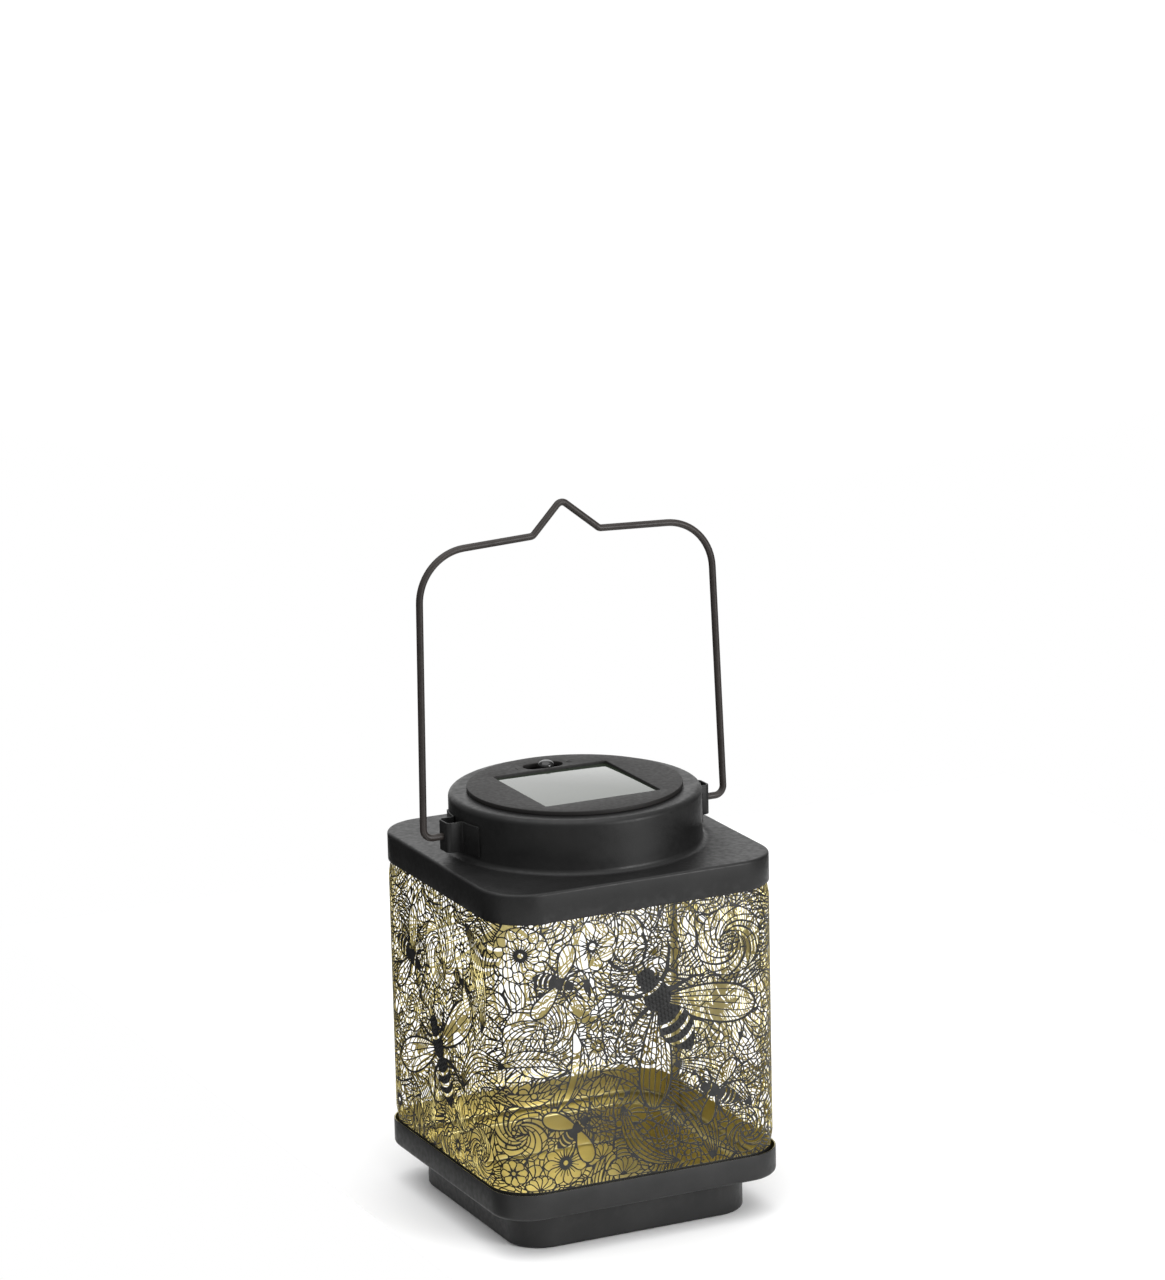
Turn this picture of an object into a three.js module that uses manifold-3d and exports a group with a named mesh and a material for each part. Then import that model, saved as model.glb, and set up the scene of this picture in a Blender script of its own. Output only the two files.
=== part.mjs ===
// Solar table and garden lantern.
//
// A square sheet-metal lantern: a pressed base pan with a smaller foot, a cut-out sheet sleeve with round
// corners, and a pressed cap whose round collar takes a drop-in solar module. A wire bail swings in two
// bent strip brackets on the collar. The module holds the cell, the slide switch, the board with its LED,
// and a battery behind a screwed door.
//
// Frame: millimetres, +Z up, origin at the centre of the foot's underside. +X runs along the bail's pivot
// axis, and the front face of the lantern looks along -Y.

import * as THREE from "three";
import { mergeVertices } from "three/addons/utils/BufferGeometryUtils.js";
import Module from "manifold-3d";

const wasm = await Module();
wasm.setup();

// ---------------------------------------------------------------- driving dimensions (mm, degrees)

const sheet = 0.6; // steel of the base pan and the cap
const sleeveSheet = 0.4; // steel of the cut-out sleeve
const seat = 0.2; // clearance between pieces that rest on each other

const foot = { half: 55, corner: 16, height: 17.2, edge: 1.5 };
const rim = { half: 66.2, corner: 17.4, top: 28.8, edge: 2 };
const sleeve = { half: 65.1, corner: 19.3 };
const skirt = { half: 66, corner: 20, low: 146.45, top: 159.05, edge: 1.2 };
const collar = { radius: 54, top: 182.5, edge: 2.5, fillet: 2.5, mouth: 43.5 };
const seam = { y: 40, gap: 0.6, stripWidth: 7, stripClearance: 0.1, stripInset: 0.3 };

const bracket = { reach: 61.8, halfWidth: 5, thick: 0.8, low: 163, high: 176, wrap: 17, hole: 1.7 };
const bail = {
  wire: 1.5,
  pivotHeight: 169.4,
  lean: 1.24,
  endX: 57.5,
  legX: 70.6,
  shoulder: [67.7, 121.1],
  kink: [15.5, 123.4],
  hookHeight: 137.5,
  hookOffset: -1.9,
  bends: { foot: 4, shoulder: 22, kink: 2.6, hook: 3 },
};

const lid = { radius: 46, low: 182.6, top: 184.45, edge: 0.9, lipDepth: 1 };
const lidSkirt = { outer: 43, inner: 41.4, low: 176.2 };
const opening = { halfX: 26.6, halfY: 26.85, y: -1.65 }; // the opening in the lid
const cell = { half: 27.5, glass: 1.2, wafer: 0.5, clearance: 0.3 };
const slot = { y: 32, halfLength: 9, halfWidth: 4.4 };
const knob = { x: 1.5, radius: 3.5, rise: 1.95 };
const can = { outer: 43, wall: 1.6, low: 157.5, top: 175.4 };
const board = { halfX: 17, front: -6.5, back: 36.5, low: 170, thick: 1.2 };
const lidBoss = { radius: 3, ring: 36.5, pilot: 1.3, angles: [20, 160, 270] };
const battery = { radius: 7.1, minusX: -22.7, length: 49.3, nub: 1, y: -18, z: 166.3 };
const bay = { halfX: 28.6, halfY: 8, wall: 2, roof: 173.9, top: 175, contactSlot: 26 };
const door = { halfX: 29.4, halfY: 8.8, thick: 1.4, gap: 0.3, earX: 16, earY: -30.8, earRadius: 3.4 };
const doorBossSize = { radius: 3.6, pilot: 1.05, top: 167 };
const led = {
  radius: 2.5,
  flange: 2.9,
  tip: 155.6,
  shoulder: 162.6,
  top: 163.6,
  legSide: 0.5,
  legPitch: 2.54,
};

// ---------------------------------------------------------------- colours and finishes

const finish = (color, roughness, metalness = 0) => ({ color, roughness, metalness });
const blackCoat = finish(0x222222, 0.45, 0.2);
const goldSheet = finish(0xb39a3c, 0.35, 0.7);
const bailCoat = finish(0x2b2726, 0.4, 0.2);
const blackPlastic = finish(0x1c1b1a, 0.55);
const glossBlack = finish(0x0c0c0c, 0.12);
const cellGlass = finish(0x9fa59c, 0.05);
const silicon = finish(0x1a2030, 0.25, 0.3);
const steel = finish(0xb8b8b8, 0.3, 0.9);
const boardGreen = finish(0x1f5b2c, 0.4);
const rubber = finish(0x111111, 0.8);
const ledEpoxy = finish(0xf2ead2, 0.1);
const batteryGreen = finish(0x3b8a3e, 0.3);
const chipBlack = finish(0x101010, 0.5);
const coilGreen = finish(0x4d9a7a, 0.4);
const wireRed = finish(0xb01818, 0.5);
const wireBlack = finish(0x151515, 0.5);

// ---------------------------------------------------------------- solids and booleans

/** A closed three.js geometry as a manifold-3d solid, without its zero-area pole triangles. */
function solidOf(geometry) {
  const bare = geometry.clone();
  bare.deleteAttribute("normal");
  bare.deleteAttribute("uv");
  const merged = mergeVertices(bare, 1e-4);
  const corners = merged.index.array;
  const kept = [];
  for (let i = 0; i < corners.length; i += 3) {
    const [a, b, c] = [corners[i], corners[i + 1], corners[i + 2]];
    if (a !== b && b !== c && c !== a) kept.push(a, b, c);
  }
  return new wasm.Manifold(new wasm.Mesh({
    numProp: 3,
    vertProperties: new Float32Array(merged.attributes.position.array),
    triVerts: new Uint32Array(kept),
  }));
}

/** A manifold-3d solid as a three.js geometry. */
function geometryOf(solid) {
  const { vertProperties, triVerts } = solid.getMesh();
  const geometry = new THREE.BufferGeometry();
  geometry.setAttribute("position", new THREE.BufferAttribute(vertProperties, 3));
  geometry.setIndex(new THREE.BufferAttribute(triVerts, 1));
  geometry.computeVertexNormals();
  return geometry;
}

const join = (first, ...more) =>
  geometryOf(more.reduce((sum, piece) => sum.add(solidOf(piece)), solidOf(first)));

const cut = (first, ...more) =>
  geometryOf(more.reduce((rest, piece) => rest.subtract(solidOf(piece)), solidOf(first)));

const common = (first, second) => geometryOf(solidOf(first).intersect(solidOf(second)));

// ---------------------------------------------------------------- outlines and basic shapes

const rad = THREE.MathUtils.degToRad;

/** Points of an arc from one angle to another, in degrees, both ends included. */
function arc(x, y, radius, from, to, steps = 4) {
  const points = [];
  for (let i = 0; i <= steps; i++) {
    const angle = rad(from + ((to - from) * i) / steps);
    points.push(new THREE.Vector2(x + radius * Math.cos(angle), y + radius * Math.sin(angle)));
  }
  return points;
}

/** A rectangle with round corners. */
function roundRectangle(halfX, halfY, corner) {
  const [x, y] = [halfX - corner, halfY - corner];
  const shape = new THREE.Shape();
  shape.absarc(x, y, corner, 0, Math.PI / 2);
  shape.absarc(-x, y, corner, Math.PI / 2, Math.PI);
  shape.absarc(-x, -y, corner, Math.PI, 1.5 * Math.PI);
  shape.absarc(x, -y, corner, 1.5 * Math.PI, 2 * Math.PI);
  return shape;
}

/** A shape drawn upwards from one height to another. */
function prism(shape, low, high, curveSegments = 4) {
  const options = { depth: high - low, bevelEnabled: false, curveSegments };
  return new THREE.ExtrudeGeometry(shape, options).translate(0, 0, low);
}

/** A square block with round corners, and with its lower or upper edge rounded where asked. */
function squareBlock(half, corner, low, high, { roundLow = 0, roundHigh = 0 } = {}) {
  const outline = roundRectangle(half, half, corner);
  const edge = Math.max(roundLow, roundHigh);
  if (edge === 0) return prism(outline, low, high);
  // The rounding is put on both ends of a longer block, and the end that stays sharp is cut off.
  const bottom = roundLow ? low : low - 2 * edge;
  const top = roundHigh ? high : high + 2 * edge;
  const rounded = new THREE.ExtrudeGeometry(outline, {
    depth: top - bottom - 2 * edge,
    bevelThickness: edge,
    bevelSize: edge,
    bevelOffset: -edge,
    bevelSegments: 3,
    curveSegments: 4,
  });
  rounded.translate(0, 0, bottom + edge);
  return common(rounded, prism(outline, low, high));
}

function box(x0, x1, y0, y1, z0, z1) {
  const geometry = new THREE.BoxGeometry(x1 - x0, y1 - y0, z1 - z0);
  return geometry.translate((x0 + x1) / 2, (y0 + y1) / 2, (z0 + z1) / 2);
}

/** An upright round rod. */
function rod(x, y, radius, low, high, sides = 20) {
  const geometry = new THREE.CylinderGeometry(radius, radius, high - low, sides);
  return geometry.rotateX(Math.PI / 2).translate(x, y, (low + high) / 2);
}

/** A profile of (radius, height) points turned about the Z axis. */
function turned(profile, segments) {
  const points = profile.map((p) => (p.isVector2 ? p : new THREE.Vector2(...p)));
  return new THREE.LatheGeometry(points, segments).rotateX(Math.PI / 2);
}

/** The points of a bent wire or strip: straight runs between corners, each corner {at, bend} an arc. */
function bentPath(corners, degreesPerStep = 15) {
  const points = [];
  corners.forEach(({ at, bend = 0 }, i) => {
    if (!bend || i === 0 || i === corners.length - 1) {
      points.push(at.clone());
      return;
    }
    const back = corners[i - 1].at.clone().sub(at).normalize();
    const ahead = corners[i + 1].at.clone().sub(at).normalize();
    const opening = back.angleTo(ahead);
    const run = bend / Math.tan(opening / 2);
    const centre = back.clone().add(ahead).normalize().multiplyScalar(bend / Math.sin(opening / 2)).add(at);
    const first = back.clone().multiplyScalar(run).add(at).sub(centre);
    const last = ahead.clone().multiplyScalar(run).add(at).sub(centre);
    const turn = Math.PI - opening;
    const steps = Math.max(2, Math.ceil(THREE.MathUtils.radToDeg(turn) / degreesPerStep));
    for (let k = 0; k <= steps; k++) {
      const [a, b] = [Math.sin(turn * (1 - k / steps)), Math.sin((turn * k) / steps)];
      const spoke = first.clone().multiplyScalar(a).addScaledVector(last, b).divideScalar(Math.sin(turn));
      points.push(spoke.add(centre));
    }
  });
  return points;
}

/** A curve whose steps fall on its own points, so that an extrusion keeps every bend. */
class PointPath extends THREE.Curve {
  constructor(points) {
    super();
    this.points = points;
  }

  getPoint(t, target = new THREE.Vector3()) {
    const place = t * (this.points.length - 1);
    const i = Math.min(Math.floor(place), this.points.length - 2);
    return target.lerpVectors(this.points[i], this.points[i + 1], place - i);
  }

  getPointAt(u, target) {
    return this.getPoint(u, target);
  }

  getTangentAt(u, target) {
    return this.getTangent(u, target);
  }
}

/** A round wire along points. */
function wire(points, radius, sides = 8) {
  const section = new THREE.Shape();
  for (let i = 0; i < sides; i++) {
    const angle = ((i + 0.5) * 2 * Math.PI) / sides;
    const corner = [radius * Math.cos(angle), radius * Math.sin(angle)];
    if (i === 0) section.moveTo(...corner);
    else section.lineTo(...corner);
  }
  section.closePath();
  return new THREE.ExtrudeGeometry(section, {
    steps: points.length - 1,
    bevelEnabled: false,
    extrudePath: new PointPath(points),
  });
}

const at = (x, y, z) => new THREE.Vector3(x, y, z);

// ---------------------------------------------------------------- the assembly

const lantern = new THREE.Group();
lantern.name = "solar_lantern";

function part(name, geometry, look, parent = lantern) {
  const mesh = new THREE.Mesh(geometry, new THREE.MeshStandardMaterial(look));
  mesh.name = name;
  parent.add(mesh);
  return mesh;
}

// ---------------------------------------------------------------- shell

/** One pressing: a flat floor, the foot's walls, a ledge and the rim that the sleeve stands in. */
function basePan() {
  const outside = join(
    squareBlock(foot.half, foot.corner, 0, foot.height + sheet, { roundLow: foot.edge }),
    squareBlock(rim.half, rim.corner, foot.height, rim.top, { roundLow: rim.edge }),
  );
  const footWell = squareBlock(foot.half - sheet, foot.corner - sheet, sheet, rim.top, {
    roundLow: foot.edge - sheet,
  });
  const rimWell = squareBlock(rim.half - sheet, rim.corner - sheet, foot.height + sheet, rim.top + 1, {
    roundLow: rim.edge - sheet,
  });
  return cut(outside, footWell, rimWell);
}

const sleeveLow = foot.height + rim.edge + seat; // stands just above the rounding inside the rim
const sleeveHigh = skirt.top - sheet - seat;

/** The cut-out sheet, bent round four corners. Its two ends meet at the seam on the +X face. */
function filigreeSleeve() {
  const outside = squareBlock(sleeve.half, sleeve.corner, sleeveLow, sleeveHigh);
  const inner = sleeve.half - sleeveSheet;
  const inside = squareBlock(inner, sleeve.corner - sleeveSheet, sleeveLow - 1, sleeveHigh + 1);
  const [slitLow, slitHigh] = [seam.y - seam.gap / 2, seam.y + seam.gap / 2];
  const slit = box(inner - 1, sleeve.half + 1, slitLow, slitHigh, sleeveLow - 1, sleeveHigh + 1);
  return cut(outside, inside, slit);
}

/** The strip that the sleeve's two ends are spot-welded to, on the inside. */
function seamStrip() {
  const outerX = sleeve.half - sleeveSheet - seam.stripClearance;
  const [low, high] = [sleeveLow + seam.stripInset, sleeveHigh - seam.stripInset];
  const halfWidth = seam.stripWidth / 2;
  return box(outerX - sleeveSheet, outerX, seam.y - halfWidth, seam.y + halfWidth, low, high);
}

/** One pressing: the skirt over the sleeve, the flat top, and the drawn-up collar with its round mouth. */
function topCap() {
  const { radius, top, edge, fillet, mouth } = collar;
  const skirtOutside = squareBlock(skirt.half, skirt.corner, skirt.low, skirt.top, {
    roundHigh: skirt.edge,
  });
  const collarOutside = turned([
    [0, skirt.top - sheet],
    [radius + fillet, skirt.top - sheet],
    ...arc(radius + fillet, skirt.top + fillet, fillet, 270, 180, 3),
    ...arc(radius - edge, top - edge, edge, 0, 90, 4),
    [0, top],
  ], 64);
  const [insideHalf, insideCorner] = [skirt.half - sheet, skirt.corner - sheet];
  const skirtInside = squareBlock(insideHalf, insideCorner, skirt.low - 1, skirt.top - sheet, {
    roundHigh: skirt.edge - sheet,
  });
  const innerRadius = radius - sheet;
  const innerEdge = edge - sheet;
  const collarInside = turned([
    [0, skirt.low],
    [innerRadius, skirt.low],
    ...arc(innerRadius - innerEdge, top - sheet - innerEdge, innerEdge, 0, 90, 3),
    [mouth, top - sheet],
    [mouth, top + 1],
    [0, top + 1],
  ], 64);
  return cut(join(skirtOutside, collarOutside), skirtInside, collarInside);
}

/** A bent strip: two flanges that hug the collar, and a square loop between them for the wire's end. */
function bailBracket(side) {
  const middle = collar.radius + seat + bracket.thick / 2;
  const loopX = bracket.reach - bracket.thick / 2;
  const loopY = bracket.halfWidth - bracket.thick / 2;
  const rootX = Math.sqrt(middle ** 2 - (loopY + 0.8) ** 2);
  const rootAngle = THREE.MathUtils.radToDeg(Math.asin((loopY + 2.2) / middle));
  const flange = arc(0, 0, middle, bracket.wrap, rootAngle, 3).map((p) => ({ at: at(p.x, p.y, 0) }));
  const half = [
    ...flange,
    { at: at(rootX, loopY, 0), bend: 0.8 },
    { at: at(loopX, loopY, 0), bend: 2 },
  ];
  const mirrored = [...half].reverse().map(({ at: p, bend }) => ({ at: at(p.x, -p.y, 0), bend }));
  const strip = stripOutline(bentPath([...half, ...mirrored], 30), bracket.thick);
  const body = prism(strip, bracket.low, bracket.high);
  const hole = new THREE.CylinderGeometry(bracket.hole, bracket.hole, 8, 16).rotateZ(Math.PI / 2);
  hole.translate(bracket.reach, 0, bail.pivotHeight);
  const geometry = cut(body, hole);
  return side > 0 ? geometry : geometry.rotateZ(Math.PI);
}

/** The outline of a strip of even thickness along points in the XY plane. */
function stripOutline(points, thick) {
  const [left, right] = [[], []];
  points.forEach((point, i) => {
    const before = points[Math.max(i - 1, 0)];
    const after = points[Math.min(i + 1, points.length - 1)];
    const run = new THREE.Vector2(after.x - before.x, after.y - before.y).setLength(thick / 2);
    left.push(new THREE.Vector2(point.x - run.y, point.y + run.x));
    right.unshift(new THREE.Vector2(point.x + run.y, point.y - run.x));
  });
  return new THREE.Shape([...left, ...right]);
}

/** The wire bail, drawn in the XZ plane with its pivot axis at z = 0. */
function bailHandle() {
  const { endX, legX, shoulder, kink, hookHeight, hookOffset, bends } = bail;
  const half = (side) => [
    { at: at(side * endX, 0, 0) },
    { at: at(side * legX, 0, 0), bend: bends.foot },
    { at: at(side * shoulder[0], 0, shoulder[1]), bend: bends.shoulder },
    { at: at(side * kink[0], 0, kink[1]), bend: bends.kink },
  ];
  const hook = { at: at(hookOffset, 0, hookHeight), bend: bends.hook };
  return wire(bentPath([...half(-1), hook, ...half(1).reverse()], 12), bail.wire, 10);
}

part("base_pan", basePan(), blackCoat);
part("filigree_sleeve", filigreeSleeve(), goldSheet);
part("seam_strip", seamStrip(), goldSheet);
part("top_cap", topCap(), blackCoat);
part("bracket_left", bailBracket(-1), blackCoat);
part("bracket_right", bailBracket(1), blackCoat);

const bailPivot = new THREE.Group();
bailPivot.position.z = bail.pivotHeight;
bailPivot.rotation.x = -rad(bail.lean);
lantern.add(bailPivot);
part("bail_handle", bailHandle(), bailCoat, bailPivot);

// ---------------------------------------------------------------- solar module

const bossPlaces = lidBoss.angles.map((angle) => [
  lidBoss.ring * Math.cos(rad(angle)),
  lidBoss.ring * Math.sin(rad(angle)),
]);

/** The lid: a disc with the cell's opening and the switch's slot, a skirt and three screw bosses. */
function moduleLid() {
  const disc = turned([
    [0, lid.low],
    [lid.radius, lid.low],
    ...arc(lid.radius - lid.edge, lid.top - lid.edge, lid.edge, 0, 90, 3),
    [0, lid.top],
  ], 56);
  const skirtRing = turned([
    [lidSkirt.inner, lidSkirt.low],
    [lidSkirt.outer, lidSkirt.low],
    [lidSkirt.outer, lid.low + 0.2],
    [lidSkirt.inner, lid.low + 0.2],
    [lidSkirt.inner, lidSkirt.low],
  ], 56);
  const floorTop = can.low + can.wall;
  const bosses = bossPlaces.map(([x, y]) => rod(x, y, lidBoss.radius, floorTop + seat, lid.low + 0.2, 16));
  const pilots = bossPlaces.map(([x, y]) => rod(x, y, lidBoss.pilot, floorTop - 1, floorTop + 12, 12));
  const { halfX, halfY, y } = opening;
  const mouth = box(-halfX, halfX, y - halfY, y + halfY, lid.low - 1, lid.top + 1);
  const reach = cell.half + cell.clearance;
  const pocket = box(-reach, reach, y - reach, y + reach, lid.low - 1, lid.top - lid.lipDepth);
  const slotShape = roundRectangle(slot.halfLength, slot.halfWidth, slot.halfWidth - 0.01);
  const switchSlot = prism(slotShape, lid.low - 1, lid.top + 1).translate(0, slot.y, 0);
  return cut(join(disc, skirtRing, ...bosses), ...pilots, mouth, pocket, switchSlot);
}

const glassTop = lid.top - lid.lipDepth - 0.1;
const glassLow = glassTop - cell.glass;

/** A square plate under the lid's opening. */
function cellPlate(half, low, high) {
  return box(-half, half, opening.y - half, opening.y + half, low, high);
}

/** The domed finger knob and its stem, which reaches into the switch. */
function switchKnob() {
  const rimHeight = lid.top - 0.4;
  const top = lid.top + knob.rise;
  const dome = turned([
    [0, lid.low - 0.6],
    [knob.radius, lid.low - 0.6],
    [knob.radius, rimHeight],
    [knob.radius * 0.92, rimHeight + 0.9],
    [knob.radius * 0.7, top - 0.6],
    [knob.radius * 0.38, top - 0.12],
    [0, top],
  ], 24);
  const stem = box(-1, 1, -1, 1, switchTop - 1.5, lid.low - 0.5);
  return join(dome, stem).translate(knob.x, slot.y, 0);
}

const boardTop = board.low + board.thick;
const switchTop = boardTop + 5.4;

/** The slide switch on the board, with the groove that the knob's stem runs in. */
function switchBody() {
  const body = box(-7, 7, slot.y - 3.5, slot.y + 3.5, boardTop + 0.1, switchTop);
  const groove = box(-4.2, 4.2, slot.y - 1.3, slot.y + 1.3, switchTop - 2, switchTop + 1);
  return cut(body, groove);
}

/** The cup that closes the module from below, with the battery bay, two board posts and the door's boss. */
function moduleCan() {
  const { outer, wall, low, top } = can;
  const cup = turned([[0, low], [outer - 1, low], [outer, low + 1], [outer, top], [0, top]], 56);
  const inner = outer - wall;
  const well = turned([[0, low + wall], [inner, low + wall], [inner, top + 1], [0, top + 1]], 56);
  const { y } = battery;
  const bayX = bay.halfX + bay.wall;
  const bayY = bay.halfY + bay.wall;
  const bayBlock = box(-bayX, bayX, y - bayY, y + bayY, low + wall - 0.1, bay.top);
  const posts = boardPosts.map(([x, py]) => rod(x, py, 2.6, low + 0.5, board.low - seat, 12));
  const doorBoss = rod(door.earX, door.earY, doorBossSize.radius, low + wall, doorBossSize.top, 16);
  const solid = join(cut(cup, well), bayBlock, ...posts, doorBoss);
  const bayWell = box(-bay.halfX, bay.halfX, y - bay.halfY, y + bay.halfY, low - 1, bay.roof);
  const contactSlots = [-1, 1].map((side) => {
    const [x0, x1] = [side * bay.contactSlot, side * bay.halfX].sort((a, b) => a - b);
    return box(x0, x1, y - 5.5, y + 5.5, bay.roof - 1, bay.top + 1);
  });
  const doorHole = doorShape(door.gap, low - 1, low + wall);
  const screwHoles = bossPlaces.map(([x, sy]) => rod(x, sy, 1.5, low - 1, low + wall + 1, 12));
  const postHoles = boardPosts.map(([x, py]) => rod(x, py, 1.1, board.low - 6, board.low, 12));
  const bossHole = rod(door.earX, door.earY, doorBossSize.pilot, low, doorBossSize.top - 1, 12);
  const ledHole = rod(0, 0, led.radius + 0.25, low - 1, low + wall + 1, 20);
  return cut(solid, bayWell, ...contactSlots, doorHole, ...screwHoles, ...postHoles, bossHole, ledHole);
}

const boardPosts = [[-13, 20], [13, 20]];

/** The battery door's outline, grown by a gap where it is the hole in the can: a plate with a screw ear. */
function doorShape(grow, low, high) {
  const { halfX, halfY, earX, earY, earRadius } = door;
  const plateLow = battery.y - halfY;
  const plate = box(-halfX - grow, halfX + grow, plateLow - grow, battery.y + halfY + grow, low, high);
  const ear = rod(earX, earY, earRadius + grow, low, high, 20);
  const neckHalf = earRadius + grow;
  const neck = box(earX - neckHalf, earX + neckHalf, earY, plateLow + 1, low, high);
  return join(plate, neck, ear);
}

function batteryDoor() {
  const plate = doorShape(0, can.low, can.low + door.thick);
  return cut(plate, rod(door.earX, door.earY, 1.2, can.low - 1, can.low + 3, 12));
}

/** A pan-head screw pointing up, with its cross recess, head underside at z = 0. */
function screw(headRadius, headHeight, shankRadius, length) {
  const blank = turned([
    [0, -headHeight],
    [headRadius * 0.6, -headHeight],
    [headRadius, -headHeight * 0.45],
    [headRadius, 0],
    [shankRadius, 0],
    [shankRadius, length - shankRadius],
    [0, length],
  ], 14);
  const arm = headRadius * 0.55;
  const half = headRadius * 0.12;
  const recess = join(
    box(-arm, arm, -half, half, -headHeight - 1, -headHeight * 0.45),
    box(-half, half, -arm, arm, -headHeight - 1, -headHeight * 0.45),
  );
  return cut(blank, recess);
}

/** The battery, lying along X with its plus nub towards +X. */
function batteryCell() {
  const { radius, length, nub } = battery;
  const body = turned([
    [0, 0],
    [radius - 0.6, 0],
    [radius, 0.6],
    [radius, length - 0.6],
    [radius - 0.6, length],
    [2.7, length],
    [2.7, length + nub],
    [0, length + nub],
  ], 24);
  return body.rotateY(Math.PI / 2).translate(battery.minusX, battery.y, battery.z);
}

const contactX = 28;
const contactLow = 160.5;
const tabTop = 177;

/** A contact plate standing in the bay's end, with a solder tab above the bay. */
function contactPlate(side) {
  const [x0, x1] = [side * contactX - 0.2, side * contactX + 0.2];
  const plate = box(x0, x1, battery.y - 5, battery.y + 5, contactLow, bay.roof - 0.5);
  const tab = box(x0, x1, battery.y - 2, battery.y + 2, bay.roof - 1, tabTop);
  return join(plate, tab);
}

/** The minus contact: the plate with a coil spring that tapers towards the battery. */
function contactSpring() {
  const [turns, stepsPerTurn] = [3, 12];
  const start = -contactX;
  const reach = battery.minusX - 0.75 - start;
  const points = [];
  for (let i = 0; i <= turns * stepsPerTurn; i++) {
    const share = i / (turns * stepsPerTurn);
    const angle = (i / stepsPerTurn) * 2 * Math.PI;
    const radius = 4 - 1.2 * share;
    const [y, z] = [battery.y + radius * Math.cos(angle), battery.z + radius * Math.sin(angle)];
    points.push(at(start + reach * share, y, z));
  }
  return join(contactPlate(-1), wire(points, 0.35, 6));
}

/** A 5 mm LED pointing down, with its two legs up to the board. */
function lightDiode() {
  const body = turned([
    [0, led.tip],
    ...arc(0, led.tip + led.radius, led.radius, -72, 0, 4),
    [led.radius, led.shoulder],
    [led.flange, led.shoulder],
    [led.flange, led.top],
    [0, led.top],
  ], 20);
  const half = led.legSide / 2;
  const legs = [-led.legPitch / 2, led.legPitch / 2].map((x) =>
    box(x - half, x + half, -half, half, led.top - 0.5, board.low - 0.1));
  return join(body, ...legs);
}

function circuitBoard() {
  const plate = box(-board.halfX, board.halfX, board.front, board.back, board.low, boardTop);
  return cut(plate, ...boardPosts.map(([x, y]) => rod(x, y, 1.3, board.low - 1, boardTop + 1, 12)));
}

function inductorCoil() {
  const body = new THREE.CapsuleGeometry(1.6, 5, 3, 12).rotateZ(Math.PI / 2);
  return body.translate(8, 6, boardTop + 1.8);
}

const solarModule = new THREE.Group();
lantern.add(solarModule);

part("module_lid", moduleLid(), blackPlastic, solarModule);
part("cell_window", cellPlate(cell.half, glassLow, glassTop), cellGlass, solarModule);
const waferTop = glassLow - 0.1;
part("solar_cell", cellPlate(cell.half - 0.5, waferTop - cell.wafer, waferTop), silicon, solarModule);
part("switch_knob", switchKnob(), glossBlack, solarModule);
part("switch_body", switchBody(), steel, solarModule);
part("circuit_board", circuitBoard(), boardGreen, solarModule);
part("drive_chip", box(-10, -5.5, 4, 8, boardTop + 0.1, boardTop + 2), chipBlack, solarModule);
part("inductor_coil", inductorCoil(), coilGreen, solarModule);
part("led", lightDiode(), ledEpoxy, solarModule);
part("module_can", moduleCan(), blackPlastic, solarModule);

const sealRing = turned([
  [lidSkirt.inner + 0.2, can.top + 0.1],
  [can.outer - 0.2, can.top + 0.1],
  [can.outer - 0.2, lidSkirt.low - 0.1],
  [lidSkirt.inner + 0.2, lidSkirt.low - 0.1],
  [lidSkirt.inner + 0.2, can.top + 0.1],
], 40);
part("housing_seal", sealRing, rubber, solarModule);

bossPlaces.forEach(([x, y], i) => {
  const fastener = part(`can_screw_${i + 1}`, screw(2.6, 1.5, 1.2, 10), steel, solarModule);
  fastener.position.set(x, y, can.low - 0.1);
});

boardPosts.forEach(([x, y], i) => {
  const fastener = part(`board_screw_${i + 1}`, screw(1.9, 1.2, 0.95, 5), steel, solarModule);
  fastener.position.set(x, y, boardTop + 0.1);
  fastener.rotation.x = Math.PI;
});

part("battery_cell", batteryCell(), batteryGreen, solarModule);
part("contact_plate", contactPlate(1), steel, solarModule);
part("contact_spring", contactSpring(), steel, solarModule);
part("battery_door", batteryDoor(), blackPlastic, solarModule);

const doorScrew = part("battery_door_screw", screw(2, 1.1, 0.9, 6), steel, solarModule);
doorScrew.position.set(door.earX, door.earY, can.low - 0.2);

/** The four hook-up wires: from the cell and from the battery contacts down to the board. */
function hookUpWires(side, colour, look) {
  const cellWire = [
    { at: at(side * 5, 2, glassLow - cell.wafer - 0.4) },
    { at: at(side * 5, 2, 178), bend: 2 },
    { at: at(side * 7, 15, 176), bend: 3 },
    { at: at(side * 8, 15, boardTop + 0.3) },
  ];
  part(`cell_wire_${colour}`, wire(bentPath(cellWire, 30), 0.5, 6), look, solarModule);
  const batteryWire = [
    { at: at(side * contactX, battery.y, tabTop + 0.3) },
    { at: at(side * contactX, battery.y, tabTop + 2.2), bend: 1.5 },
    { at: at(side * 13, -3, tabTop + 1.5), bend: 3 },
    { at: at(side * 13, -3, boardTop + 0.3) },
  ];
  part(`battery_wire_${colour}`, wire(bentPath(batteryWire, 30), 0.5, 6), look, solarModule);
}

hookUpWires(1, "red", wireRed);
hookUpWires(-1, "black", wireBlack);

export default lantern;
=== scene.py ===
import math
import random

import bmesh
import bpy
import numpy as np
from mathutils import Matrix, Vector
from mathutils.geometry import delaunay_2d_cdt


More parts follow.
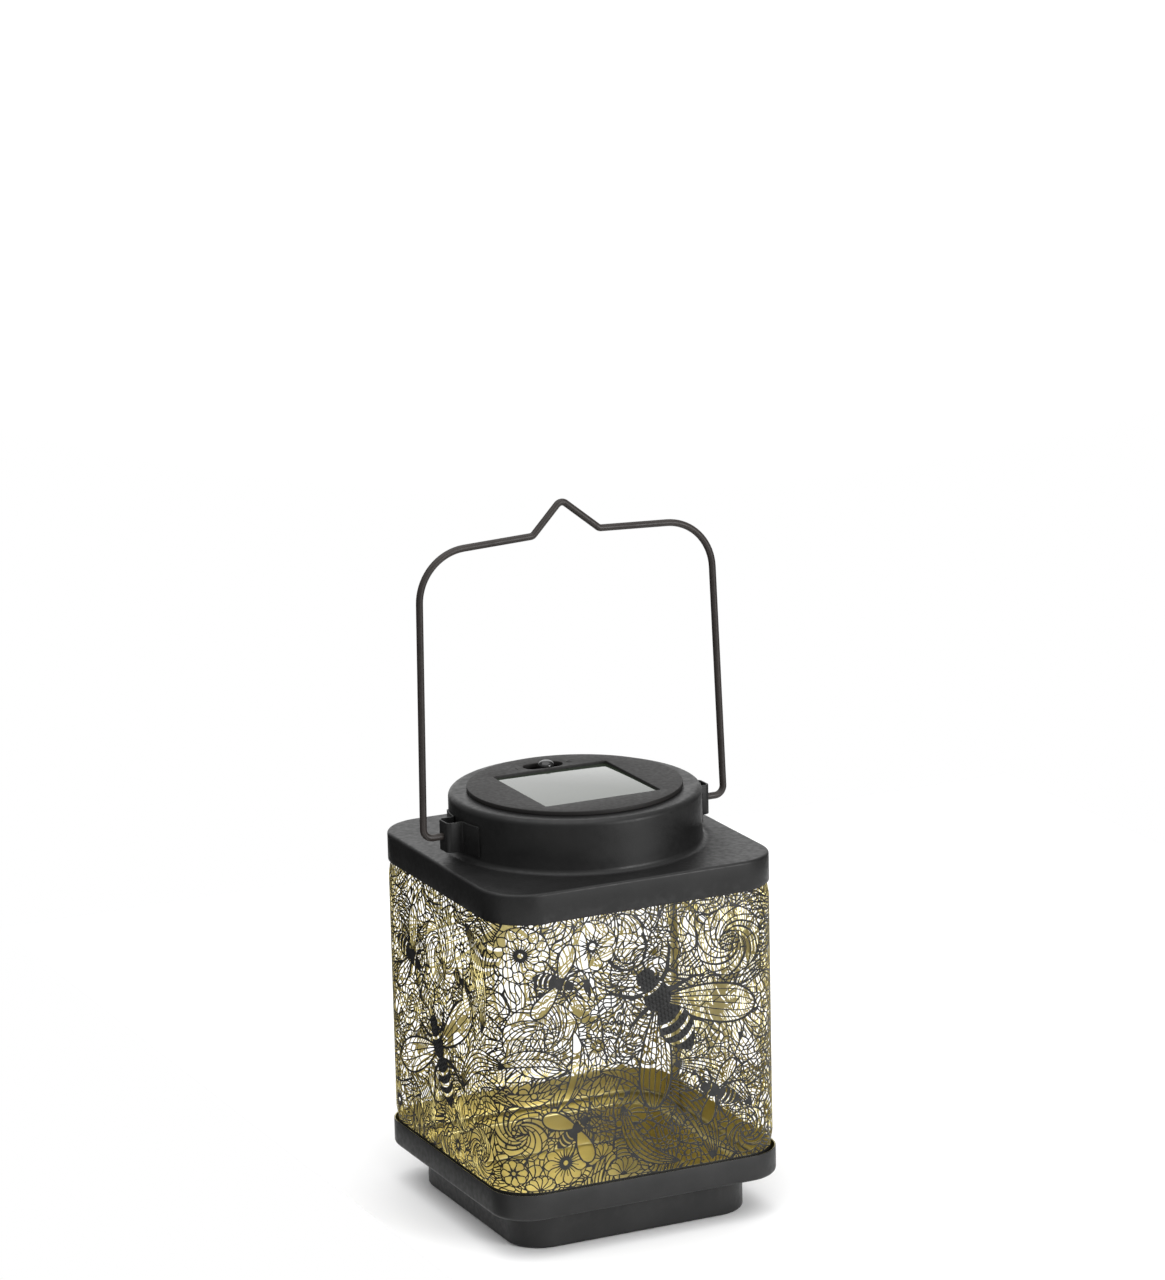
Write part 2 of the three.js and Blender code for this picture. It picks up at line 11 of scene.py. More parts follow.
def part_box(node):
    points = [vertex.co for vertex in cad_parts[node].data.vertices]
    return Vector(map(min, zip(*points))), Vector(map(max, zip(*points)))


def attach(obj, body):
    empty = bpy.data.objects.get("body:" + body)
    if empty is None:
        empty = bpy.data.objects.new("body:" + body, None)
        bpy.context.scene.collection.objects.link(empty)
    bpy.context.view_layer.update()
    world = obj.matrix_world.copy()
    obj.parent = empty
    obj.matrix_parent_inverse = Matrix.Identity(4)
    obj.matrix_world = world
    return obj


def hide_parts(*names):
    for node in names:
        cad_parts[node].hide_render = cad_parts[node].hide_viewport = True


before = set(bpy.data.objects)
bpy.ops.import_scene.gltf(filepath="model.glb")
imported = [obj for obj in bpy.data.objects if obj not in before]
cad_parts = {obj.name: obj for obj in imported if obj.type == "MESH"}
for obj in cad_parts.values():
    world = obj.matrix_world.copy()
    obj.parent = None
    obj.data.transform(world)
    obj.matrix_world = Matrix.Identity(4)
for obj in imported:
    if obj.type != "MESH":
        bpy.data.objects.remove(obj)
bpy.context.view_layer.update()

# Shapes are worked out in millimetres and become metres where a mesh is made.
MM = 0.001
TURN = 2 * math.pi

# ---------------------------------------------------------------- driving sizes (mm, degrees)

SHEET = 0.6
SLEEVE_SHEET = 0.4
FOOT_HALF, FOOT_CORNER, FOOT_HEIGHT, FOOT_EDGE = 55, 16, 17.2, 1.5
RIM_HALF, RIM_CORNER, RIM_TOP, RIM_EDGE = 66.2, 17.4, 28.8, 2
SLEEVE_HALF, SLEEVE_CORNER = 65.1, 19.3
SLEEVE_LOW, SLEEVE_HIGH = 19.4, 158.25
SEAM_Y, SEAM_GAP = 40, 0.6
SKIRT_HALF, SKIRT_CORNER, SKIRT_LOW, SKIRT_TOP, SKIRT_EDGE = 66, 20, 146.45, 159.05, 1.2
COLLAR_RADIUS, COLLAR_TOP, COLLAR_EDGE, COLLAR_FILLET, MOUTH_RADIUS = 54, 182.5, 2.5, 2.5, 43.5
PIVOT_HEIGHT = 169.4


# ================================================================ materials

class Nodes:
    """The node tree of a material or the world, its nodes added one by one and linked by name."""

    def __init__(self, owner, main):
        owner.use_nodes = True
        self.tree = owner.node_tree
        self.main = self.tree.nodes[main]

    def node(self, kind, settings=None, **inputs):
        made = self.tree.nodes.new(kind)
        for name, value in (settings or {}).items():
            setattr(made, name, value)
        for name, value in inputs.items():
            self.put(made.inputs[name.replace("_", " ")], value)
        return made

    def put(self, socket, value):
        """Links an output to a socket, or sets the socket's own value."""
        if isinstance(value, bpy.types.NodeSocket):
            self.tree.links.new(value, socket)
        else:
            socket.default_value = value

    def set(self, **inputs):
        for name, value in inputs.items():
            self.put(self.main.inputs[name.replace("_", " ")], value)

    def span(self, factor, low, high, bottom=0.0, top=1.0):
        """Maps a factor from one range to another, clamped."""
        made = self.node("ShaderNodeMapRange", Value=factor, From_Min=low, From_Max=high,
                         To_Min=bottom, To_Max=top)
        return made.outputs["Result"]

    def maths(self, operation, first, second):
        made = self.node("ShaderNodeMath", {"operation": operation})
        self.put(made.inputs[0], first)
        self.put(made.inputs[1], second)
        return made.outputs[0]


class Shader(Nodes):
    """A new material."""

    def __init__(self, name):
        self.material = bpy.data.materials.new(name)
        super().__init__(self.material, "Principled BSDF")

    def place(self):
        """Object coordinates, which are the lantern's own frame in metres."""
        return self.node("ShaderNodeTexCoord").outputs["Object"]

    def noise(self, scale, detail=3.0, roughness=0.5, vector=None):
        made = self.node("ShaderNodeTexNoise", Scale=scale, Detail=detail, Roughness=roughness,
                         Vector=vector or self.place())
        return made.outputs["Fac"]

    def ramp(self, factor, *stops):
        made = self.node("ShaderNodeValToRGB", Fac=factor)
        ends = made.color_ramp.elements
        while len(ends) < len(stops):
            ends.new(0.5)
        for end, (position, colour) in zip(ends, stops):
            end.position = position
            end.color = colour if len(colour) == 4 else (*colour, 1)
        return made.outputs["Color"]

    def mix(self, factor, first, second):
        made = self.node("ShaderNodeMix", {"data_type": "RGBA"})
        self.put(made.inputs["Factor"], factor)
        self.put(made.inputs[6], first)
        self.put(made.inputs[7], second)
        return made.outputs[2]

    def stripes(self, along, pitch, share):
        """One on a share of each pitch of a coordinate, and zero between."""
        phase = self.maths("FRACT", self.maths("MULTIPLY", self.maths("ADD", along, 1.0), 1 / pitch), 0.0)
        return self.maths("LESS_THAN", phase, share)

    def bump(self, height, strength, distance, under=None):
        made = self.node("ShaderNodeBump", Height=height, Strength=strength, Distance=distance)
        if under is not None:
            self.put(made.inputs["Normal"], under)
        return made.outputs["Normal"]

    def worn_edges(self, low=0.53, high=0.62):
        """High on outside edges, broken up by noise."""
        pointed = self.node("ShaderNodeNewGeometry").outputs["Pointiness"]
        edge = self.span(pointed, low, high)
        patchy = self.span(self.noise(260, 4), 0.45, 0.65)
        return self.maths("MULTIPLY", edge, patchy)


def grey(value):
    return (value, value, value, 1)


def lighter(colour, times, lift=0.0):
    """A colour made brighter, for flecks and rubbed edges."""
    return (*(min(1, times * c + lift) for c in colour[:3]), 1)


def powder_coat(name, dark, light, grain=1500, gloss=0.36):
    """Satin powder coat: a fine orange-peel grain, a slow cloudy variation and lighter worn edges."""
    s = Shader(name)
    cloud = s.noise(60, 3)
    speck = s.noise(2600, 2, 0.7)
    colour = s.ramp(cloud, (0.3, dark), (0.7, light))
    colour = s.mix(s.span(speck, 0.62, 0.8, 0, 0.35), colour, lighter(light, 3.2))
    colour = s.mix(s.maths("MULTIPLY", s.worn_edges(), 0.5), colour, lighter(light, 2.4))
    rough = s.span(s.noise(420, 3), 0.3, 0.7, gloss, gloss + 0.14)
    peel = s.bump(s.noise(grain, 2, 0.6), 0.22, 0.00012)
    s.set(Base_Color=colour, Roughness=rough, Specular_IOR_Level=0.26,
          Normal=s.bump(s.noise(420, 2), 0.06, 0.0002, peel))
    return s.material


def gold_lacquer(name, pale, deep, gloss=0.34):
    """Gold lacquer over sheet steel, with slow tone changes and fine grain."""
    s = Shader(name)
    colour = s.ramp(s.noise(24, 4), (0.3, deep), (0.7, pale))
    rough = s.span(s.noise(300, 3), 0.3, 0.7, gloss, gloss + 0.12)
    s.set(Base_Color=colour, Metallic=0.8, Roughness=rough,
          Normal=s.bump(s.noise(1300, 2, 0.6), 0.14, 0.0001))
    return s.material


BLACK_COAT = powder_coat("black_coat", grey(0.0075), grey(0.0125))
RIM_COAT = powder_coat("rim_coat", grey(0.011), grey(0.018), 1900, 0.38)
SHEET_BLACK = powder_coat("sheet_black", grey(0.008), grey(0.014), 1500, 0.4)
BAIL_COAT = powder_coat("bail_brown", (0.020, 0.0165, 0.015, 1), (0.032, 0.027, 0.0245, 1), 1800, 0.34)
GOLD = gold_lacquer("gold_lacquer_fine", (0.72, 0.63, 0.29, 1), (0.58, 0.50, 0.22, 1), 0.28)
GOLD_EDGE = gold_lacquer("gold_cut_edge", (0.58, 0.50, 0.20, 1), (0.47, 0.40, 0.15, 1), 0.3)


def moulded_plastic(name, tone, grain=900, gloss=0.5):
    """Black moulded plastic with a fine spark texture."""
    s = Shader(name)
    colour = s.mix(s.span(s.noise(35, 4), 0.35, 0.7), tone, lighter(tone, 1.5))
    colour = s.mix(s.maths("MULTIPLY", s.worn_edges(), 0.4), colour, lighter(tone, 2.6))
    rough = s.span(s.noise(520, 3), 0.3, 0.7, gloss, gloss + 0.12)
    s.set(Base_Color=colour, Roughness=rough, Specular_IOR_Level=0.22,
          Normal=s.bump(s.noise(grain, 3, 0.65), 0.25, 0.00018))
    return s.material


PLASTIC = moulded_plastic("lid_plastic", (0.0105, 0.0098, 0.0094, 1))
CAN_PLASTIC = moulded_plastic("can_plastic", (0.014, 0.014, 0.0145, 1), 700, 0.45)


# ================================================================ meshes

def new_object(name, data):
    made = bpy.data.objects.new(name, data)
    bpy.context.scene.collection.objects.link(made)
    return made


def mesh_piece(name, points, faces, materials, face_materials=None, smooth=True):
    """A new object from points in mm."""
    mesh = bpy.data.meshes.new(name)
    mesh.from_pydata([(x * MM, y * MM, z * MM) for x, y, z in points], [], faces)
    for material in materials:
        mesh.materials.append(material)
    if face_materials is not None:
        mesh.polygons.foreach_set("material_index", np.asarray(face_materials, np.int32))
    mesh.polygons.foreach_set("use_smooth", np.full(len(mesh.polygons), smooth))
    mesh.update()
    return new_object(name, mesh)


def settle(piece, body, slot, *nodes):
    """The piece's body, its finish slot, which is not used, and the CAD nodes it stands for."""
    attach(piece, body)
    if nodes:
        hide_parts(*nodes)
    return piece


def sharpen(piece, degrees=30):
    """Marks edges that turn by more than an angle as sharp."""
    mesh = piece.data
    work = bmesh.new()
    work.from_mesh(mesh)
    limit = math.radians(degrees)
    for edge in work.edges:
        if len(edge.link_faces) == 2 and edge.calc_face_angle(0) > limit:
            edge.smooth = False
    work.to_mesh(mesh)
    work.free()
    return piece


CORNER_STEPS = 16
SIDE_STEPS = 16


def square_ring(half, corner):
    """Points round a square with round corners, anticlockwise from the middle of the +X side."""
    flat = half - corner
    points = [(half, flat * i / (SIDE_STEPS / 2)) for i in range(SIDE_STEPS // 2)]
    for i in range(CORNER_STEPS + 1):
        angle = math.pi / 2 * i / CORNER_STEPS
        points.append((flat + corner * math.cos(angle), flat + corner * math.sin(angle)))
    points += [(flat * (1 - i / (SIDE_STEPS / 2)), half) for i in range(1, SIDE_STEPS // 2)]
    ring = []
    for quarter in range(4):
        c, s = [(1, 0), (0, 1), (-1, 0), (0, -1)][quarter]
        ring += [(x * c - y * s, x * s + y * c) for x, y in points]
    return ring


def quads(a, b, n):
    """Faces between two loops of n points that start at a and b."""
    return [(a + i, a + (i + 1) % n, b + (i + 1) % n, b + i) for i in range(n)]


RING = len(square_ring(10, 2))


def round_ring(radius):
    return circle_outline(0, 0, radius, RING)


def skin(rings, close_first=False, close_last=False, closed=False):
    """Faces between rings of equal count, each ring a list of (x, y) and a height."""
    points = [(x, y, z) for ring, z in rings for x, y in ring]
    n = len(rings[0][0])
    faces = []
    count = len(rings)
    for r in range(count if closed else count - 1):
        faces += quads(r * n, (r + 1) % count * n, n)
    if close_first:
        faces.append(tuple(range(n - 1, -1, -1)))
    if close_last:
        faces.append(tuple((count - 1) * n + i for i in range(n)))
    return points, faces


def bend(x, z, radius, start, end, steps=6):
    """Points of an arc in a profile, angles in degrees."""
    angles = [math.radians(start + (end - start) * i / steps) for i in range(steps + 1)]
    return [(x + radius * math.cos(a), z + radius * math.sin(a)) for a in angles]


# ================================================================ the cut-out sheet's drawing
#
# The sheet is drawn unrolled: s runs round the lantern from the middle of the front face, to the right
# as seen from outside, and z is the height. The drawing is a raster of signed distances in mm, above
# zero where there is metal.

GRID = 0.17
LINE, JOINT_LINE, EDGE_LINE = 0.57, 0.42, 0.5  # widths of plain, cross and border lines
ETCHED_SHEET = 0.24  # the sheet's thickness where it is cut out
MID_HALF = SLEEVE_HALF - SLEEVE_SHEET / 2
MID_CORNER = SLEEVE_CORNER - SLEEVE_SHEET / 2
FLAT = MID_HALF - MID_CORNER
BEND_LENGTH = MID_CORNER * math.pi / 2
PITCH = 2 * FLAT + BEND_LENGTH
SEAM_S = PITCH + SEAM_Y
S_START = SEAM_S - 4 * PITCH + SEAM_GAP / 2
S_END = SEAM_S - SEAM_GAP / 2
OPEN_LOW, OPEN_HIGH = 29.5, 145.8
BAND = 0.8  # raster beyond the openings, all metal


def smooth_noise(s, z, wavelength, seed, waves=5):
    """A sum of plane waves of mixed directions, about -1 to 1."""
    rng = random.Random(seed)
    total = np.zeros_like(s)
    for _ in range(waves):
        angle = rng.uniform(0, TURN)
        k = TURN / (wavelength * rng.uniform(0.7, 1.5))
        total += np.sin(k * (math.cos(angle) * s + math.sin(angle) * z) + rng.uniform(0, TURN))
    return total / math.sqrt(waves)


def cellular(u, v, pitch, seed, jitter=0.85):
    """Cells round jittered grid points: offset from the nearest point, distance to the border, number."""
    gu, gv = np.floor(u / pitch).astype(np.int32), np.floor(v / pitch).astype(np.int32)
    low_u, low_v = gu.min() - 2, gv.min() - 2
    shape = (gv.max() + 3 - low_v, gu.max() + 3 - low_u)
    rng = np.random.default_rng(seed)
    jitter_u = ((rng.random(shape) - 0.5) * jitter + 0.5).astype(np.float32)
    jitter_v = ((rng.random(shape) - 0.5) * jitter + 0.5).astype(np.float32)

    def offset(i, j):
        cu, cv = gu + i, gv + j
        places = (cv - low_v, cu - low_u)
        return (cu + jitter_u[places]) * pitch - u, (cv + jitter_v[places]) * pitch - v

    best = np.full(u.shape, np.inf, np.float32)
    near_u, near_v = np.zeros_like(best), np.zeros_like(best)
    number = np.zeros(u.shape, np.int32)
    for i in (-1, 0, 1):
        for j in (-1, 0, 1):
            du, dv = offset(i, j)
            distance = du * du + dv * dv
            closer = distance < best
            best = np.where(closer, distance, best)
            near_u = np.where(closer, du, near_u)
            near_v = np.where(closer, dv, near_v)
            number = np.where(closer, (gv + j - low_v) * shape[1] + gu + i - low_u, number)
    border = np.full(u.shape, np.inf, np.float32)
    for i in range(-2, 3):
        for j in range(-2, 3):
            if abs(i) == 2 and abs(j) == 2:
                continue
            du, dv = offset(i, j)
            du, dv = du - near_u, dv - near_v
            gap = np.hypot(du, dv)
            middle = ((near_u + du / 2) * du + (near_v + dv / 2) * dv) / np.maximum(gap, 1e-6)
            border = np.where(gap > 1e-3, np.minimum(border, middle), border)
    return near_u, near_v, border, number


def to_line(value, spacing):
    """Distance to the nearest multiple of spacing."""
    share = value / spacing
    return np.abs(share - np.round(share)) * spacing


class Drawing:
    """The raster, and the pen that works on it."""

    def __init__(self, s0, s1, z0, z1):
        self.s0, self.z0 = s0, z0
        self.s = (s0 + GRID * np.arange(round((s1 - s0) / GRID) + 1)).astype(np.float32)
        self.z = (z0 + GRID * np.arange(round((z1 - z0) / GRID) + 1)).astype(np.float32)
        self.field = np.full((len(self.z), len(self.s)), -1.0, np.float32)
        self.solid = None  # depth of the metal, once the drawing is done
        self.scaled = []  # the large bees, as (place, angle, length)

    def window(self, low, high, margin=1.0):
        """The slices of the raster that cover a box, or None."""
        first = [max(int((low[k] - margin - start) / GRID), 0) for k, start in ((0, self.s0), (1, self.z0))]
        last = [int((high[k] + margin - start) / GRID) + 2 for k, start in ((0, self.s0), (1, self.z0))]
        last = [min(last[0], len(self.s)), min(last[1], len(self.z))]
        if last[0] <= first[0] or last[1] <= first[1]:
            return None
        return slice(first[1], last[1]), slice(first[0], last[0])

    def stroke(self, points, width=LINE, end=None):
        """A line of metal along points, its width running from width to end."""
        end = width if end is None else end
        count = len(points) - 1
        for k in range(count):
            p, q = np.asarray(points[k], float), np.asarray(points[k + 1], float)
            half = (width + (end - width) * k / count) / 2
            next_half = (width + (end - width) * (k + 1) / count) / 2
            at = self.window(np.minimum(p, q), np.maximum(p, q), max(half, next_half) + 2 * GRID)
            if at is None:
                continue
            x, y = self.s[at[1]][None, :] - p[0], self.z[at[0]][:, None] - p[1]
            dx, dy = q - p
            t = np.clip((x * dx + y * dy) / max(dx * dx + dy * dy, 1e-9), 0, 1)
            metal = half + (next_half - half) * t - np.hypot(x - t * dx, y - t * dy)
            np.maximum(self.field[at], metal, out=self.field[at])

    def within(self, outline, at):
        """Signed distance to a closed outline on a window, above zero inside."""
        x, y = self.s[at[1]][None, :], self.z[at[0]][:, None]
        nearest = np.full((y.shape[0], x.shape[1]), np.inf, np.float32)
        inside = np.zeros(nearest.shape, bool)
        for p, q in zip(outline, np.roll(outline, -1, axis=0)):
            dx, dy = q - p
            t = np.clip(((x - p[0]) * dx + (y - p[1]) * dy) / max(dx * dx + dy * dy, 1e-9), 0, 1)
            nearest = np.minimum(nearest, (x - p[0] - t * dx) ** 2 + (y - p[1] - t * dy) ** 2)
            if dy:
                inside ^= ((p[1] > y) != (q[1] > y)) & (x < p[0] + (y - p[1]) * dx / dy)
        return np.where(inside, 1, -1) * np.sqrt(nearest)

    def fill(self, outline):
        at = self.window(outline.min(0), outline.max(0))
        if at is not None:
            np.maximum(self.field[at], self.within(outline, at), out=self.field[at])

    def open(self, outline, line=0.0):
        """An opening, with a line round it where asked."""
        at = self.window(outline.min(0), outline.max(0))
        if at is None:
            return
        np.minimum(self.field[at], -self.within(outline, at), out=self.field[at])
        if line:
            self.outline(outline, line)

    def outline(self, points, line):
        """A line of metal all the way round."""
        self.stroke(np.vstack([points, points[:1]]), line)


def turned(points, angle, origin):
    c, s = math.cos(angle), math.sin(angle)
    return np.asarray(points, float) @ np.array([[c, s], [-s, c]]) + np.asarray(origin, float)


def oval(centre, a, b, angle=0.0, count=24):
    t = np.linspace(0, TURN, count, endpoint=False)
    return turned(np.stack([a * np.cos(t), b * np.sin(t)], 1), angle, centre)


def disc(centre, radius, count):
    return oval(centre, radius, radius, 0, count)


def bow(p, q, rise, count=12):
    """A curve from p to q that rises to one side by a share of their distance."""
    p, q = np.asarray(p, float), np.asarray(q, float)
    t = np.linspace(0, 1, count)[:, None]
    side = np.array([-(q - p)[1], (q - p)[0]])
    return p + (q - p) * t + side * rise * 4 * t * (1 - t)


def petal(root, angle, length, width, count=14, fullness=0.62):
    """A petal's outline, pointed at both ends and widest at fullness of its length."""
    t = np.linspace(0, 1, count)
    half = width / 2 * np.sin(math.pi * t ** (math.log(0.5) / math.log(fullness))) ** 0.8
    upper = np.stack([t * length, half], 1)
    lower = np.stack([t * length, -half], 1)[::-1]
    return turned(np.vstack([upper, lower[1:-1]]), angle, root)


def spiral(centre, inner, outer, start, sweep, count=36):
    t = np.linspace(0, 1, count)
    radius, angle = inner * (outer / inner) ** t, start + sweep * t
    return np.asarray(centre, float) + np.stack([radius * np.cos(angle), radius * np.sin(angle)], 1)


PATCH_SIZE, CELL_SIZE, TIE_SIZE, ARC_PITCH = 13.0, 2.95, 5.6, 2.0  # the ground's patterns, in mm


def draw_ground(drawing, seed):
    """Patches of small cells, arcs, fans, scales and waves, each patch with a border line."""
    s, z = np.meshgrid(drawing.s, drawing.z)
    u = s + 2.6 * smooth_noise(s, z, 36, seed + 1)
    v = z + 2.6 * smooth_noise(s, z, 33, seed + 2)
    patch_u, patch_v, border, patch = cellular(u, v, PATCH_SIZE, seed + 3, 0.95)
    kind = np.random.default_rng(seed + 4).random(patch.max() + 1)[patch]
    angle = np.random.default_rng(seed + 5).random(patch.max() + 1)[patch] * TURN

    def on_sheet(distance):
        """A distance in the warped plane as one on the sheet."""
        dz, ds = np.gradient(distance, GRID)
        return distance / np.clip(np.hypot(dz, ds), 0.6, 1.8)

    small_u = u + 1.1 * smooth_noise(s, z, 13, seed + 6)
    small_v = v + 1.1 * smooth_noise(s, z, 12, seed + 7)
    cells = cellular(small_u, small_v, CELL_SIZE, seed + 8)[2]
    ties = cellular(u, v, TIE_SIZE, seed + 9)[2]
    off_u, off_v = patch_u - 7.5 * np.cos(angle), patch_v - 7.5 * np.sin(angle)
    radius, bearing = np.hypot(off_u, off_v), np.arctan2(off_v, off_u)
    rays = np.select([radius < 3.6, radius < 7.2, radius < 14.4], [10, 20, 40], 80)
    ray = to_line(bearing, TURN / rays) * radius
    along = patch_u * np.cos(angle) + patch_v * np.sin(angle)
    across = patch_u * np.sin(angle) - patch_v * np.cos(angle)
    wave = to_line(along + 1.2 * np.sin(across / 2.4), ARC_PITCH)
    row = np.floor(v / 3.0)
    shell = np.hypot((u + row * 2.2) % 4.4 - 2.2, v % 3.0)
    shell_above = np.hypot((u + (row + 1) * 2.2) % 4.4 - 2.2, v % 3.0 + 3.0)
    scales = np.minimum(np.minimum(np.abs(shell - 2.3), np.abs(shell - 1.1)), np.abs(shell_above - 3.8))
    pattern = np.select(
        [kind < 0.5, kind < 0.68, kind < 0.78, kind < 0.9],
        [
            on_sheet(cells),
            np.minimum(on_sheet(to_line(radius, ARC_PITCH)), on_sheet(ties)),
            np.minimum(on_sheet(ray), on_sheet(to_line(radius, 5.2))),
            np.minimum(on_sheet(wave), on_sheet(ties)),
        ],
        scales,
    )
    metal = np.maximum(LINE / 2 - pattern, 0.3 - on_sheet(border))
    drawing.field = np.maximum(drawing.field, metal.astype(np.float32))


def wing_half_width(t, width):
    """Half a wing's width at a share of its length: a narrow root and a round tip."""
    full = 0.68
    root = np.sin(math.pi / 2 * np.minimum(t / full, 1)) ** 0.9
    tip = np.sqrt(np.clip(1 - (np.clip(t - full, 0, 1) / (1 - full)) ** 2, 0, 1))
    return width / 2 * root * tip


def draw_wing(drawing, root, angle, length, width, veins, rng, line):
    """An open wing: its edge, veins that run out of the root to the margin, and short cross veins."""
    t = np.concatenate([np.linspace(0, 0.68, 14), 0.68 + 0.32 * np.sin(np.linspace(0, math.pi / 2, 9)[1:])])
    half = wing_half_width(t, width)
    upper, lower = np.stack([t, half / length], 1), np.stack([t, -half / length], 1)
    outline = np.vstack([upper, lower[::-1][1:-1]]) * length
    drawing.open(turned(outline, angle, root))
    runs = []
    for k in range(veins):
        share = 0.8 * (2 * (k + 0.5) / veins - 1)
        steps = np.linspace(0.02, 0.985, 26)
        spread = share * (0.55 + 0.75 * steps)
        side = spread * wing_half_width(steps, width) + share * 0.035 * length * (1 - steps)
        kept = np.abs(spread) < 1
        run = turned(np.stack([steps * length, side], 1)[kept], angle, root)
        runs.append(run)
        drawing.stroke(run, 0.62, 0.4)
    for first, second in zip(runs, runs[1:]):
        reach = min(len(first), len(second)) - 2
        for k in range(3):
            i = min(reach, 7 + 6 * k + rng.randint(-2, 2))
            j = min(reach, i + rng.choice((-1, 1, 2)))
            drawing.stroke([first[i], second[j]], JOINT_LINE)
    drawing.outline(turned(outline, angle, root), line)


# Shares of a bee's length, measured along its body towards the head.
BEE_LEGS = ((0.22, 0.34, 0.24), (0.12, 0.36, -0.04), (0.02, 0.38, -0.34))  # root, reach and slant
BEE_STRIPES, STRIPE_HALF = (-0.11, -0.225, -0.33), 0.017
BEE_WAIST, BELLY_LENGTH, BELLY_WIDTH = 0.06, 0.56, 0.33


def draw_bee(drawing, at, angle, length, wings, rng, veins=5, scaled=False):
    """A bee from above, its head towards angle. Each wing is (angle from the body, length, width)."""
    def place(x, y):
        return turned([[x * length, y * length]], angle, at)[0]

    for side in (-1, 1):
        for root_x, reach, back in BEE_LEGS:
            knee, toe = place(root_x + back * 0.3, side * reach * 0.6), place(root_x + back, side * reach)
            foot = place(root_x + back * 1.35, side * reach * 1.08)
            drawing.stroke([place(root_x, 0), knee], length * 0.022 + 0.35, length * 0.034 + 0.45)
            drawing.stroke([knee, toe], length * 0.034 + 0.45, length * 0.016 + 0.4)
            drawing.stroke([toe, foot], length * 0.022 + 0.4, JOINT_LINE)
        elbow, tip = place(0.52, side * 0.05), place(0.74, side * 0.2)
        drawing.stroke([place(0.42, side * 0.045), elbow], 0.5 + length * 0.008)
        drawing.stroke(bow(elbow, tip, side * 0.14, 8), 0.5 + length * 0.008, 0.6 + length * 0.02)
    for turn_by, reach, width in wings:
        draw_wing(drawing, place(0.12, 0), angle + turn_by, reach, width, veins, rng, 0.55 + 0.009 * length)
    waist = place(BEE_WAIST, 0)
    belly = petal(waist, angle + math.pi, BELLY_LENGTH * length, BELLY_WIDTH * length, 26, 0.5)
    drawing.fill(belly)
    for x in BEE_STRIPES:
        half = 0.15 * length * (1 - ((x + 0.17) / 0.42) ** 2) ** 0.5
        ahead, behind = x + STRIPE_HALF, x - STRIPE_HALF
        front = bow(place(ahead, -half / length), place(ahead, half / length), 0.16, 10)
        rear = bow(place(behind, half / length), place(behind, -half / length), -0.16, 10)
        drawing.open(np.vstack([front, rear]))
    drawing.outline(belly, EDGE_LINE)
    drawing.fill(oval(place(0.15, 0), 0.155 * length, 0.135 * length, angle))
    drawing.fill(oval(place(0.35, 0), 0.105 * length, 0.125 * length, angle))
    front = bow(place(0.258, -0.11), place(0.258, 0.11), 0.12, 8)
    rear = bow(place(0.23, 0.11), place(0.23, -0.11), -0.12, 8)
    drawing.open(np.vstack([front, rear]))
    for side in (-1, 1):
        eye = oval(place(0.37, side * 0.095), 0.050 * length, 0.034 * length, angle, 14)
        drawing.open(eye, JOINT_LINE)
        drawing.fill(oval(place(0.37, side * 0.078), 0.036 * length, 0.022 * length, angle, 10))
    drawing.stroke([waist, place(0.43, 0)], EDGE_LINE)
    if scaled:
        drawing.scaled.append((at, angle, length))


def draw_flower(drawing, centre, radius, petals, rng, heart=0.2, double=False):
    """A flower with one or two rows of petals and an open heart."""
    centre = np.asarray(centre, float)
    drawing.open(disc(centre, radius, 40), 0.45)
    start = rng.uniform(0, 1)
    rows = [(radius, start)]
    if double:
        rows.append((radius * 0.66, start + math.pi / petals))
    for reach, first in rows:
        for k in range(petals):
            angle = first + TURN * k / petals
            towards = np.array([math.cos(angle), math.sin(angle)])
            root = centre + radius * heart * 0.6 * towards
            width = TURN * reach * 0.81 / petals
            drawing.open(petal(root, angle, reach - radius * heart * 0.6, width, 14, 0.66), EDGE_LINE)
            if reach > 6:
                drawing.stroke([root, root + (reach - radius * heart) * 0.6 * towards], 0.5, 0.35)
    drawing.fill(disc(centre, radius * heart, 20))
    drawing.open(disc(centre, radius * heart * 0.55, 14))


def draw_swirl(drawing, centre, radius, arms, sweep, rng, core=0.3):
    """Curled blades round a core of the ground's small cells."""
    at = drawing.window(np.array(centre) - radius, np.array(centre) + radius)
    if at is None:
        return
    distance = np.hypot(drawing.s[at[1]][None, :] - centre[0], drawing.z[at[0]][:, None] - centre[1])
    ring = (distance < radius) & (distance > radius * core)
    drawing.field[at] = np.where(ring, -1.0, drawing.field[at])
    for k in range(arms):
        start = TURN * k / arms + rng.uniform(-0.06, 0.06)
        arm = spiral(centre, radius * core, radius * 1.03, start, sweep)
        following = spiral(centre, radius * core, radius * 1.03, start + TURN / arms, sweep)
        drawing.stroke(arm, 0.45, 0.62)
        if k % 3 != 1:
            twin_start = start + 0.42 + sweep * 0.12
            twin = spiral(centre, radius * (core + 0.12), radius * 1.02, twin_start, sweep * 0.8, 28)
            drawing.stroke(twin, JOINT_LINE)
        for _ in range(2 if k % 3 else 4):
            joint = arm[rng.randint(8, 30)]
            drawing.stroke([joint, following[np.argmin(np.hypot(*(following - joint).T))]], JOINT_LINE)
    for edge in (radius * core, radius):
        drawing.outline(disc(centre, edge, 44), EDGE_LINE)


def along_normal(path):
    slope = np.gradient(path, axis=0)
    return np.stack([-slope[:, 1], slope[:, 0]], 1) / np.hypot(*slope.T)[:, None]


